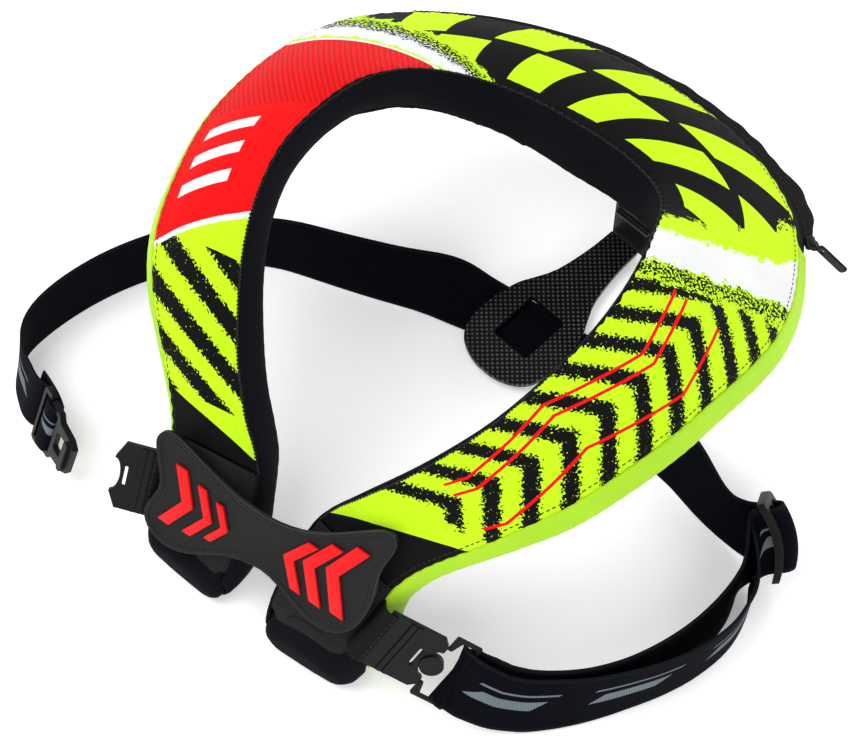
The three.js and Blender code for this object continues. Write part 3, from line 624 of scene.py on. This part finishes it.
def spun_thread():
    made, tree, shader = new_material("black_thread")
    twist = mottle(object_place(tree), *THREAD["twist"])
    dress(shader, paint(twist, *THREAD["tones"]), *THREAD["finish"])
    feed(shader.inputs["Sheen Weight"], THREAD["sheen"])
    feed(shader.inputs["Sheen Roughness"], THREAD["sheen_roughness"])
    bumped(shader, twist, THREAD["depth"])
    return made


black_thread = spun_thread()


def edge_line(grid, column, inset):
    """Line on a cover at this distance from its first or last column, with the surface normals there."""
    normals = grid_normals(grid)
    normals *= outward(grid, normals)
    if column:
        grid, normals = grid[:, ::-1], normals[:, ::-1]
    widths = [chord(row) for row in grid]
    return tuple(np.array([read_at(inset, width, row) for width, row in zip(widths, rows)])
                 for rows in (grid, normals))


def end_line(grid, row, inset, margin):
    """Line across a cover at this distance from its first or last row, clear of its edges by margin."""
    points, ups = edge_line(np.swapaxes(grid, 0, 1), row, inset)
    width = chord(points)
    inside = (width > margin) & (width < width[-1] - margin)
    return points[inside], ups[inside]


def spaced(points, ups, pitch):
    """The line read at equal steps: places, ways along it and normals."""
    length = chord(points)
    at = np.linspace(0, length[-1], max(2, round(length[-1] / pitch)))
    places = read_at(at, length, points)
    normals = unit(read_at(at, length, ups))
    ways = np.gradient(places, axis=0)
    ways -= normals * (ways * normals).sum(1, keepdims=True)
    return places, unit(ways), normals


def taken_shape(pattern):
    """Points and faces of a pattern, which is then taken away."""
    points = mesh_points(pattern.data)
    faces = [tuple(face.vertices) for face in pattern.data.polygons]
    bpy.data.objects.remove(pattern)
    return points, faces


def one_stitch(length, width):
    """Points and faces of a single stitch lying along x."""
    bpy.ops.mesh.primitive_uv_sphere_add(
        segments=6, ring_count=5, radius=0.5, rotation=(0, math.pi / 2, 0))
    bead = bpy.context.object
    bead.scale = (width * STITCH_FLATNESS, width, length)
    bpy.ops.object.transform_apply(location=True, rotation=True, scale=True)
    return taken_shape(bead)


def joined_copies(name, shape, frames, places, material):
    """One mesh with a copy of the shape in every frame."""
    points, faces = shape
    moved = np.einsum("pk,nkj->npj", points, frames) + places[:, None]
    steps = np.arange(len(places)) * len(points)
    everything = [tuple(i + step for i in face) for step in steps.tolist() for face in faces]
    mesh = bpy.data.meshes.new(name)
    mesh.from_pydata(moved.reshape(-1, 3).tolist(), [], everything)
    mesh.shade_smooth()
    mesh.materials.append(material)
    new_piece(name, mesh)


def stitch_row(name, line, size=STITCH):
    places, ways, ups = spaced(*line, size["pitch"])
    sides = np.cross(ups, ways)
    slant = size.get("slant", 0.0) * np.where(np.arange(len(places)) % 2, 1, -1)[:, None]
    along = ways * np.cos(slant) + sides * np.sin(slant)
    frames = np.stack([along, np.cross(ups, along), ups], axis=1)
    joined_copies(name, one_stitch(size["length"], size["width"]), frames, places, black_thread)


stitch_row("crest_overlock", edge_line(print_grid, 0, SEAM_INSET["crest"]), OVERLOCK)
stitch_row("outer_topstitch", edge_line(print_grid, -1, SEAM_INSET["outer"]))
for side, grid in pad_grids.items():
    stitch_row("pad_stitch_end_" + side, end_line(grid, -1, SEAM_INSET["pad_end"], SEAM_INSET["pad_corner"]))
    stitch_row("pad_stitch_side_" + side, edge_line(grid, 0, SEAM_INSET["pad_side"]))

# Zip: a black woven tape sewn along the back of its seat, standing out as a wavy edge, with a row of
# moulded teeth on its rim. The slider and its puller hang at the right end.
ZIP_LEFT_END = (-0.143, 0.146, 0.106)
TAPE = {"tuck": 0.0055, "reach": (0.0012, 0.0082), "growth": 1.5, "lobe": 0.0042, "lobe_size": 0.014,
        "thick": 0.0011, "columns": 8, "step": 0.0016, "ease": 150, "taper": 0.014, "roundness": 0.5,
        "sewn_out": 0.0012, "sewn_up": 0.0006}
TAPE_CLOTH = {"tones": ((0.0035, 0.0035, 0.0042, 1), (0.016, 0.016, 0.018, 1)), "finish": (0.7, 0.08),
              "size": 0.0009, "depth": 0.00012, "cloud": (60.0, 3.0), "shares": (0.5, 0.4)}
TOOTH = {"size": (0.0013, 0.0026, 0.0016), "edge": 0.0003, "pitch": 0.0024, "out": -0.0008, "below": 0.0011}
ZIP_SLIDER = {"size": (0.009, 0.0066, 0.0038), "edge": 0.0012, "out": 0.002}
LINK = {"ring": 0.0030, "wire": 0.0006, "sides": 24, "wire_sides": 8, "tag_points": 12}
# The gain and base of dulled make the roughness follow the cloud, as on handled plastic.
NYLON = {"tones": ((0.0024, 0.0025, 0.0027, 1), (0.0072, 0.0074, 0.0078, 1)), "finish": (0.4, 0.14),
         "size": 3200.0, "depth": 0.00003, "cloud": (70.0, 4.0), "shares": (0.35, 0.6),
         "dulled": (0.25, 0.28)}
PULLER_EDGE = 0.0006
GRAIN_DETAIL = 2.0
CAP_LINKS = 5


def loft_rings(name, hint):
    """Sections of a loft that is closed by a point at each end, from the end nearest to hint."""
    points, linked = cad_net(name)
    caps = sorted((i for i, near_by in enumerate(linked) if len(near_by) == CAP_LINKS),
                  key=lambda i: np.linalg.norm(points[i] - hint))
    return rings_from(points, linked, caps[:1])[1:-1]


def eased(rows, passes):
    """Rows of points with their short waves taken out and the end rows kept."""
    rows = rows.copy()
    for _ in range(passes):
        rows[1:-1] = (rows[:-2] + 2 * rows[1:-1] + rows[2:]) / 4
    return rows


def fine_grain(tree, size):
    """Height of the spark-eroded grain of a mould, and the place it is read at."""
    place = object_place(tree)
    return mottle(place, size, GRAIN_DETAIL), place


def small_block(facts):
    """Points and faces of a small bevelled block about the origin."""
    bpy.ops.mesh.primitive_cube_add(size=1)
    block = bpy.context.object
    block.scale = facts["size"]
    bpy.ops.object.transform_apply(location=True, rotation=True, scale=True)
    finish_with(block, "BEVEL", width=facts["edge"], segments=1)
    return taken_shape(block)


def round_edges(piece, width, sharp, smooth, segments=2):
    """Bevels edges sharper than one angle and shades smooth over those under the other, in degrees."""
    finish_with(piece, "BEVEL", width=width, segments=segments, limit_method="ANGLE",
                angle_limit=math.radians(sharp))
    bpy.ops.object.shade_smooth_by_angle(angle=math.radians(smooth))


def hard_copy(node_name, name, material, edge, shaped=None):
    """A moulded piece with the shape of its CAD node, or shaped from it, and its edges rounded."""
    piece = working_copy(node_name, name)
    if shaped:
        shaped(piece)
    round_edges(piece, edge, sharp=35, smooth=50)
    finish_with(piece, "WEIGHTED_NORMAL", weight=100, keep_sharp=True)
    piece.data.materials.append(material)
    return piece


nylon = two_toned("black_nylon", fine_grain, NYLON)
roots, tips = [], []
for ring in loft_rings("back_zip", ZIP_LEFT_END):
    order = np.argsort([body_tree.find_nearest(point)[3] for point in ring])
    roots.append(ring[order[:2]].mean(0))
    tips.append(ring[order[2:]].mean(0))
along = chord(np.array(roots))
at = even_steps(along[-1], TAPE["step"])
roots, tips = (eased(spline(np.array(rows), along, at), TAPE["ease"]) for rows in (roots, tips))
ways_out = unit(tips - roots)
lobes = np.array([noise.noise(Vector(point) / TAPE["lobe_size"]) for point in roots])
grown = np.linspace(0, 1, len(at)) ** TAPE["growth"]
ending = np.clip((at[-1] - at) / TAPE["taper"], 0, 1) ** TAPE["roundness"]
standing = np.interp(grown, (0, 1), TAPE["reach"]) + TAPE["lobe"] * lobes * grown
spans = TAPE["tuck"] + ending * standing
reaches = np.linspace(0, 1, TAPE["columns"])[None, :] * spans[:, None] - TAPE["tuck"]
tape_grid = roots[:, None] + reaches[..., None] * ways_out[:, None]
zip_tape = grid_piece("zip_tape", tape_grid, False)
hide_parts("back_zip")
finish_with(zip_tape, "SOLIDIFY", thickness=TAPE["thick"], offset=0)
zip_tape.data.shade_smooth()
zip_tape.data.materials.append(two_toned("zip_tape_weave", plain_weave, TAPE_CLOTH))

tape_ups = unit(np.cross(np.gradient(roots, axis=0), ways_out))
tape_ups *= np.sign(tape_ups[:, 2:])
tooth_line = roots + TOOTH["out"] * ways_out - TOOTH["below"] * tape_ups
places, ways, ups = spaced(tooth_line, tape_ups, TOOTH["pitch"])
frames = np.stack([ways, np.cross(ups, ways), ups], axis=1)
joined_copies("zip_teeth", small_block(TOOTH), frames, places, nylon)
sewn_line = roots + TAPE["sewn_out"] * ways_out + TAPE["sewn_up"] * tape_ups
stitch_row("zip_stitches", (sewn_line, tape_ups))
slider_place = roots[-1:] + ZIP_SLIDER["out"] * ways_out[-1:]
joined_copies("zip_slider", small_block(ZIP_SLIDER), frames[-1:], slider_place, nylon)

puller = hard_copy("zip_puller", "zip_puller_tag", nylon, PULLER_EDGE)
tag = mesh_points(puller.data)
tag_order = np.argsort(np.linalg.norm(tag - slider_place, axis=1))
link_way = Vector(tag[tag_order[:LINK["tag_points"]]].mean(0) - slider_place[0])
bpy.ops.mesh.primitive_torus_add(major_radius=LINK["ring"], minor_radius=LINK["wire"],
                                 major_segments=LINK["sides"], minor_segments=LINK["wire_sides"])
link = bpy.context.object
link.name = "zip_link"
link.scale = (max(1.0, link_way.length / (2 * LINK["ring"])), 1, 1)
link.rotation_euler = link_way.to_track_quat("X", "Z").to_euler()
link.location = slider_place[0] + np.array(link_way) / 2
bpy.ops.object.transform_apply(location=True, rotation=True, scale=True)
link.data.shade_smooth()
link.data.materials.append(nylon)
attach(link, "root")

# Front closure tab: a moulded rubber bow that bridges the two pads, with a raised rim, a sewn line
# inside it and red arrow marks welded on. The slanted faces along its outer edge carry a painted highlight.
TAB_TILT = math.radians(58)
TAB_NORMAL = Vector((0, -math.sin(TAB_TILT), math.cos(TAB_TILT)))
TAB_FACING = 0.98
TAB_OUTLINE_POINTS = 400
TAB_RIM = {"width": 0.0026, "slope": 0.0008, "sink": 0.0008, "edge": 0.0008}
# Reach from the outline and facing range of the slanted edge faces that take the painted highlight.
TAB_PAINTED_HIGHLIGHT = {"reach": 0.0011, "facing": (0.3, 0.85)}
TAB_SEW = {"inset": 0.0050, "length": 0.0030, "width": 0.0009, "pitch": 0.0042}
ARROW = {"count": 6, "root": 0.0016, "lowered": 0.0007, "edge": 0.0004}
FLAT_ANGLE = math.radians(1)
RUBBER = {"tones": ((0.0036, 0.0036, 0.0039, 1), (0.0105, 0.0105, 0.0112, 1)), "finish": (0.48, 0.14),
          "size": 1900.0, "depth": 0.00004, "cloud": (55.0, 4.0), "shares": (0.3, 0.7),
          "dulled": (0.2, 0.38)}
RED_RUBBER = {**RUBBER, "tones": ((0.60, 0.004, 0.005, 1), (0.85, 0.010, 0.010, 1))}
# Lighter rubber that paints a highlight along the tab's edge.
RUBBER_PAINTED_HIGHLIGHT = {**RUBBER, "tones": ((0.05, 0.05, 0.051, 1), (0.16, 0.16, 0.162, 1))}


def select_faces(piece, wanted):
    """Opens the piece in edit mode with only the wanted faces selected."""
    pick(piece)
    bpy.ops.object.mode_set(mode="EDIT")
    bpy.ops.mesh.select_mode(type="FACE")
    bpy.ops.mesh.select_all(action="DESELECT")
    bpy.ops.object.mode_set(mode="OBJECT")
    for face in piece.data.polygons:
        face.select = wanted(face)
    bpy.ops.object.mode_set(mode="EDIT")


def is_top(face):
    return face.normal.dot(TAB_NORMAL) > TAB_FACING


tab = working_copy("closure_tab", "closure_tab_moulding")
edit_whole(tab, bpy.ops.mesh.dissolve_limited, angle_limit=FLAT_ANGLE)
top = max(tab.data.polygons, key=lambda face: face.area * is_top(face))
outline = np.array([tab.data.vertices[i].co for i in top.vertices])
select_faces(tab, is_top)
bpy.ops.mesh.inset(thickness=TAB_RIM["width"])
bpy.ops.mesh.inset(thickness=TAB_RIM["slope"], depth=-TAB_RIM["sink"])
bpy.ops.object.mode_set(mode="OBJECT")
round_edges(tab, TAB_RIM["edge"], sharp=30, smooth=35, segments=3)
tab.data.materials.append(two_toned("black_rubber", fine_grain, RUBBER))
tab.data.materials.append(two_toned("rubber_painted_highlight", fine_grain, RUBBER_PAINTED_HIGHLIGHT))

outline = np.concatenate([outline, outline[:1]])
outline_length = chord(outline)
outline = read_at(np.linspace(0, outline_length[-1], TAB_OUTLINE_POINTS), outline_length, outline)
# The slanted faces near the outline take the lighter rubber as a painted highlight.
least, most = TAB_PAINTED_HIGHLIGHT["facing"]
for face in tab.data.polygons:
    to_rim = np.linalg.norm(outline - np.array(face.center), axis=1).min()
    is_slanted = least < face.normal.dot(TAB_NORMAL) < most
    face.material_index = int(to_rim < TAB_PAINTED_HIGHLIGHT["reach"] and is_slanted)
edge_way = np.gradient(outline, axis=0)
edge_way[0] = edge_way[-1] = outline[1] - outline[-2]
inwards = unit(np.cross(np.array(TAB_NORMAL), edge_way))
inwards *= np.sign((inwards * (outline.mean(0) - outline)).sum())
sewn = outline + TAB_SEW["inset"] * inwards - TAB_RIM["sink"] * np.array(TAB_NORMAL)
stitch_row("tab_stitches", (sewn, np.tile(TAB_NORMAL, (len(sewn), 1))), TAB_SEW)

red_rubber = two_toned("red_rubber", fine_grain, RED_RUBBER)
for number in range(1, 1 + ARROW["count"]):
    arrow = working_copy(f"tab_chevron_{number}", f"tab_arrow_{number}")
    middle = sum((v.co for v in arrow.data.vertices), Vector()) / len(arrow.data.vertices)
    for vertex in arrow.data.vertices:
        is_root = (vertex.co - middle).dot(TAB_NORMAL) < 0
        vertex.co -= ARROW["root" if is_root else "lowered"] * TAB_NORMAL
    edit_whole(arrow, bpy.ops.mesh.dissolve_limited, angle_limit=FLAT_ANGLE)
    round_edges(arrow, ARROW["edge"], sharp=35, smooth=35)
    arrow.data.materials.append(red_rubber)

# Clip plates and frame: flat nylon mouldings at the two front corners, each held by a short webbing
# anchor. The strap's frame is hooked into the right one, and the left one is open.
CLIP_PIECES = {"clip_plate_left": "clip_left", "clip_plate_right": "clip_right",
               "clip_frame_right": "clip_frame"}
CLIP_EDGE = 0.0008
for node_name, name in CLIP_PIECES.items():
    hard_copy(node_name, name, nylon, CLIP_EDGE)

# Body straps: 40 mm elastic webbing in three lengths, ribbed across, with a firm edge. They run from
# the back plate to the buckle on the left and through the slider to the clip on the right.
WEBBING = {"half": 0.02, "thick": 0.0017, "columns": 11, "step": 0.002, "edge": 0.0004}
WEBBING_LOOK = {"rib": 0.0015, "rib_share": 0.4, "thread": 0.0012, "thread_share": 0.15, "ground": 0.5,
                "cloud": (45.0, 3.0), "shares": (0.5, 0.5), "rim": 0.0182, "finish": (0.8, 0.035),
                "depth": 0.00018}
# Tones of the ground's valleys and ribs and of the edge.
WEBBING_TONES = [(0.0008, 0.0011, 0.0024, 1), (0.0038, 0.0046, 0.0080, 1), (0.0066, 0.0072, 0.0100, 1)]
DASH_TONES = ((0.075, 0.095, 0.110, 1), (0.19, 0.225, 0.25, 1))
DASH_LEAN = 1.6
DASHES = ({"pitch": 0.072, "share": 0.55, "width": (-0.0032, 0.0034)},
          {"pitch": 0.072, "share": 0.72, "width": (0.0072, 0.0086)})
# Where the dashes show, in metres along the strap.
MARKED = {"left": (0.372, 0.446), "loop": (0.03, 0.26)}
PLATE_MIDDLE = (0.0318, 0.0552, 0.0015)
LOOP_START = (0.2147, 0.0007, 0.020)
STRAP_FREE = 0.022
STRAP_TWIST = 0.052
STRAP_EASE = 40
CUP = {"depth": 0.0065, "fade": 0.065, "half": 0.025}
SLIDERS = {
    "left": {"place": (-0.176225, -0.176798, 0.0242), "along": (0.93, -0.36, 0),
             "across": (0.08, 0.36, 0.93)},
    "right": {"place": (0.208675, 0.018702, 0.025), "along": (0.233, -0.737, 0.635),
              "across": (-0.585, 0.415, 0.698)},
}
# Ways of the straps through the sliders, in metres along the slider and out of it.
FOLD_LEFT = [(-0.010, -0.0004), (-0.006, -0.0027), (-0.0012, -0.0014), (0.0012, 0.0016), (0.0045, 0.0031),
             (0.008, 0.0031), (0.0115, 0.0018), (0.0123, 0.0), (0.011, -0.0026), (0.007, -0.0038),
             (0.0015, -0.0047), (-0.008, -0.0050), (-0.018, -0.0046)]
FOLD_RIGHT = [(-0.0055, 0.0045), (-0.0055, 0.0010), (-0.0058, -0.0035), (-0.0036, -0.0072), (0.0, -0.0086),
              (0.0036, -0.0072), (0.0058, -0.0035), (0.0055, 0.0010), (0.0062, 0.0060)]
LOOP_END = [(0.004, 0.0075), (0.001, 0.0045)]


def elastic_webbing(name, marked=None, tones=WEBBING_TONES):
    """Ribbed elastic; grey woven dashes show on the marked stretch, in metres along it."""
    made, tree, shader = new_material(name)
    along, across, place = cut_map(tree)
    look = WEBBING_LOOK
    threads = waves(across, look["thread"]) * look["thread_share"] + look["ground"]
    height = waves(along, look["rib"]) * look["rib_share"] + threads
    relief_share, cloud_share = look["shares"]
    shade = height * relief_share + mottle(place, *look["cloud"]) * cloud_share
    valley, rib, edge = tones
    tint = paint(across.calc("ABSOLUTE") > look["rim"], paint(shade, valley, rib), edge)
    if marked:
        slant = across * DASH_LEAN + along
        broad, thin = (stripes(slant, dash) * across.within(*dash["width"]) * along.within(*marked)
                       for dash in DASHES)
        tint = paint(broad.calc("MAXIMUM", thin), tint, paint(shade, *DASH_TONES))
    dress(shader, tint, *look["finish"])
    bumped(shader, height, look["depth"])
    return made


def strap_course(name, hint, ease):
    """Middles and width ways of a CAD strap, from the end nearest to hint, eased in this many passes."""
    middles, ways = [], []
    for ring in loft_rings(name, hint):
        middle = ring.mean(0)
        way = np.linalg.svd(ring - middle)[2][0]
        middles.append(middle)
        ways.append(way * np.sign(way[1] + way[2]))
    along = chord(np.array(middles))
    at = even_steps(along[-1], WEBBING["step"])
    return tuple(eased(spline(np.array(rows), along, at), ease) for rows in (middles, ways))


def slider_axes(side):
    """Middle of a slider, and its ways along the strap, across it and through it."""
    facts = SLIDERS[side]
    along = Vector(facts["along"]).normalized()
    across = Vector(facts["across"])
    across = (across - across.dot(along) * along).normalized()
    return tuple(np.array(part) for part in (facts["place"], along, across, along.cross(across)))


def cupped(points, side):
    """Points near a slider bowed outwards, most in the middle of the strap's width."""
    place, _, across, normal = slider_axes(side)
    local = points - place
    sideways = local @ across
    far = np.linalg.norm(local - sideways[..., None] * across, axis=-1)
    share = np.clip(1 - far / CUP["fade"], 0, 1)
    bow = CUP["depth"] * share ** 2 * (3 - 2 * share) * np.clip(1 - (sideways / CUP["half"]) ** 2, 0, 1)
    return points - bow[..., None] * normal


def in_slider(side, path):
    """Points of a strap in a slider: metres along it and out of it, with the slider's width way."""
    place, along, across, normal = slider_axes(side)
    points = [place + a * along + n * normal for a, n in path]
    return np.array(points), np.tile(across, (len(path), 1))


def lengthened(course, before=None, after=None, free=STRAP_FREE):
    """A course with its ends let go over the length free and led on through other points."""
    middles, ways = course
    at = chord(middles)
    keep = np.ones(len(at), bool)
    if before is not None:
        keep &= at > free
    if after is not None:
        keep &= at < at[-1] - free
    parts = [part for part in (before, (middles[keep], ways[keep]), after) if part is not None]
    return tuple(np.concatenate([part[k] for part in parts]) for k in range(2))


def webbing(name, course, cloth, rests, *replaced, half=WEBBING["half"], cup=None):
    """A length of webbing along a course, bowed near the slider cup where one is given."""
    middles, ways = course
    along = chord(middles)
    at = np.linspace(0, along[-1], 2 + round(along[-1] / WEBBING["step"]))
    line, across = spline(middles, along, at), unit(spline(ways, along, at))
    sides = np.linspace(-half, half, WEBBING["columns"])
    grid = line[:, None] + sides[None, :, None] * across[:, None]
    if cup:
        grid = cupped(grid, cup)
    piece = grid_piece(name, grid, False)
    finish_with(piece, "SOLIDIFY", thickness=WEBBING["thick"], offset=0)
    round_edges(piece, WEBBING["edge"], sharp=50, smooth=50)
    piece.data.materials.append(cloth)
    if replaced:
        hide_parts(*replaced)


left_course = strap_course("strap_left", PLATE_MIDDLE, STRAP_EASE)
webbing("body_strap_left", lengthened(left_course, after=in_slider("left", FOLD_LEFT)),
        elastic_webbing("webbing_left", MARKED["left"]), ["back_plate"], "strap_left")
right_course = strap_course("strap_right_back", PLATE_MIDDLE, STRAP_EASE)
right_end = in_slider("right", FOLD_RIGHT[:2])
webbing("body_strap_right", lengthened(right_course, after=right_end, free=STRAP_TWIST),
        elastic_webbing("webbing_plain"), ["back_plate"], "strap_right_back", cup="right")
loop_course = strap_course("strap_right_loop", LOOP_START, 0)
loop_start, loop_end = in_slider("right", FOLD_RIGHT), in_slider("right", LOOP_END)
webbing("body_strap_loop", lengthened(loop_course, before=loop_start, after=loop_end),
        elastic_webbing("webbing_loop", MARKED["loop"]), ["slider_right"], "strap_right_loop", cup="right")

# Strap anchors: short lengths of the same webbing, sewn under the pads' outer seams and over the bases
# of the two clip plates.
ANCHOR = {"half": 0.0194, "sewn_out": 0.0016, "sewn_up": 0.0049, "sewn_share": 0.9, "sewn_points": 20}
ANCHOR_TONES = [(0.0050, 0.0050, 0.0054, 1), (0.0140, 0.0140, 0.0148, 1), (0.0120, 0.0120, 0.0126, 1)]
# The base of each clip plate, its ways out and up, and the anchor's path in metres along these two.
CLIPS = {
    "left": {"place": (-0.082625, -0.179398, 0.0556), "out": (-0.94, -0.442, 0.159),
             "up": (0.4264, -0.7015, 0.5712),
             "path": [(-0.011, -0.0100), (-0.007, -0.0040), (-0.003, 0.0012), (0.0, 0.0036),
                      (0.0034, 0.0041)]},
    "right": {"place": (0.073675, -0.176798, 0.0585), "out": (0.819, 0.303, -0.487),
              "up": (0.529, -0.726, 0.4375),
              "path": [(-0.0054, -0.0125), (-0.0056, -0.0080), (-0.0057, -0.0040), (-0.0055, 0.0),
                       (-0.0043, 0.0028), (-0.0016, 0.0040), (0.0010, 0.0041), (0.0034, 0.0041)]},
}
anchor_webbing = elastic_webbing("webbing_anchor", tones=ANCHOR_TONES)
for side, facts in CLIPS.items():
    place = Vector(facts["place"])
    out, up = Vector(facts["out"]).normalized(), Vector(facts["up"]).normalized()
    width = np.array(up.cross(out))
    line = np.array([place + a * out + n * up for a, n in facts["path"]])
    webbing("anchor_" + side, (line, np.tile(width, (len(line), 1))), anchor_webbing, ["clip_plate_" + side],
            half=ANCHOR["half"])
    middle = np.array(place + ANCHOR["sewn_out"] * out + ANCHOR["sewn_up"] * up)
    reach = ANCHOR["sewn_share"] * ANCHOR["half"]
    spread = np.linspace(-reach, reach, ANCHOR["sewn_points"])[:, None]
    sewn = middle + spread * width, np.tile(up, (len(spread), 1))
    stitch_row("anchor_stitches_" + side, sewn)

# Sliders and buckle: nylon mouldings that set the length of the straps, which are threaded round their
# bars. The right slider bows with its strap, and the left buckle's hook stands open.
SLIDER_CUTS = np.linspace(-0.018, 0.018, 7)
SLIDER_THICKER = 1.35
SLIDER_RIM = {"from": 0.0094, "wider": 1.12}
SLIDER_EDGE = {"right": 0.0010, "left": 0.0005}
BUCKLE_EDGE = 0.0006


def bowed_slider(piece):
    """Thickens the slider, cuts its bars into short lengths and bows them with the strap."""
    place, along, across, normal = slider_axes("right")
    for cut in SLIDER_CUTS:
        edit_whole(piece, bpy.ops.mesh.bisect, plane_co=place + cut * across, plane_no=across)
    local = mesh_points(piece.data) - place
    lengthways, through = local @ along, local @ normal
    wider = np.where(abs(lengthways) > SLIDER_RIM["from"], SLIDER_RIM["wider"] - 1, 0) * lengthways
    thicker = (SLIDER_THICKER - 1) * through
    moved = place + local + wider[:, None] * along + thicker[:, None] * normal
    piece.data.vertices.foreach_set("co", cupped(moved, "right").ravel())
    piece.data.update()


hard_copy("slider_right", "length_slider_right", nylon, SLIDER_EDGE["right"], bowed_slider)
hard_copy("slider_left", "length_slider_left", nylon, SLIDER_EDGE["left"])
hard_copy("buckle_left", "hook_buckle", nylon, BUCKLE_EDGE)

# Back plate: a thin carbon cloth laminate under clear coat with a square window, on a nylon bracket
# that hangs from the inside of the collar. The front faces of the bracket's ridges carry a painted highlight
# in lighter grey.
CARBON = {"cell": 0.0021, "turn": math.radians(7), "depth": 0.0001, "dark": (0.0018, 0.0018, 0.0020, 1),
          "tow": ((0.01, 0.01, 0.01, 1), (0.20, 0.20, 0.19, 1)), "crest": 1.5, "cloud": (30.0, 3.0),
          "finish": (0.4, 0.08), "coat": 0.3, "coat_roughness": 0.1}
# Lighter nylon that paints a highlight on the bracket's ridges.
NYLON_PAINTED_HIGHLIGHT = {**NYLON, "tones": ((0.03, 0.03, 0.031, 1), (0.09, 0.09, 0.092, 1)), "finish": (0.35, 0.14),
                "dulled": (0.25, 0.23)}
RIDGE = {"heights": ((0.0317, 0.0343), (0.0427, 0.0453)), "front": 0.1425, "facing": -0.3}
PLATE_EDGE = 0.0006


def carbon_cloth():
    """Plain weave under resin: tows that lie one way catch the light, those that cross them stay dark."""
    made, tree, shader = new_material("carbon_cloth")
    turned = node(tree, "Mapping", object_place(tree), None, (0, 0, CARBON["turn"]))
    columns, rows = (part * (1 / CARBON["cell"]) for part in parts_of(turned)[:2])
    over = (columns.calc("FLOOR") + rows.calc("FLOOR")).calc("FLOORED_MODULO", 2.0) < 0.5
    rise, swell = ((part.calc("FRACT") * math.pi).calc("SINE") for part in (columns, rows))
    dome = rise * swell
    tow = paint(mottle(object_place(tree), *CARBON["cloud"]), *CARBON["tow"])
    dress(shader, paint(over * dome ** CARBON["crest"], CARBON["dark"], tow), *CARBON["finish"])
    feed(shader.inputs["Coat Weight"], CARBON["coat"])
    feed(shader.inputs["Coat Roughness"], CARBON["coat_roughness"])
    bumped(shader, dome, CARBON["depth"])
    return made


hard_copy("back_plate", "carbon_plate", carbon_cloth(), PLATE_EDGE)
plate_arm = hard_copy("plate_bracket", "plate_arm", nylon, PLATE_EDGE)
plate_arm.data.materials.append(two_toned("nylon_painted_highlight", fine_grain, NYLON_PAINTED_HIGHLIGHT))
# The front faces of the ridges take the lighter nylon as a painted highlight.
for face in plate_arm.data.polygons:
    on_ridge = any(low < face.center.z < high for low, high in RIDGE["heights"])
    in_front = face.center.y < RIDGE["front"] and face.normal.y < RIDGE["facing"]
    face.material_index = int(on_ridge and in_front)
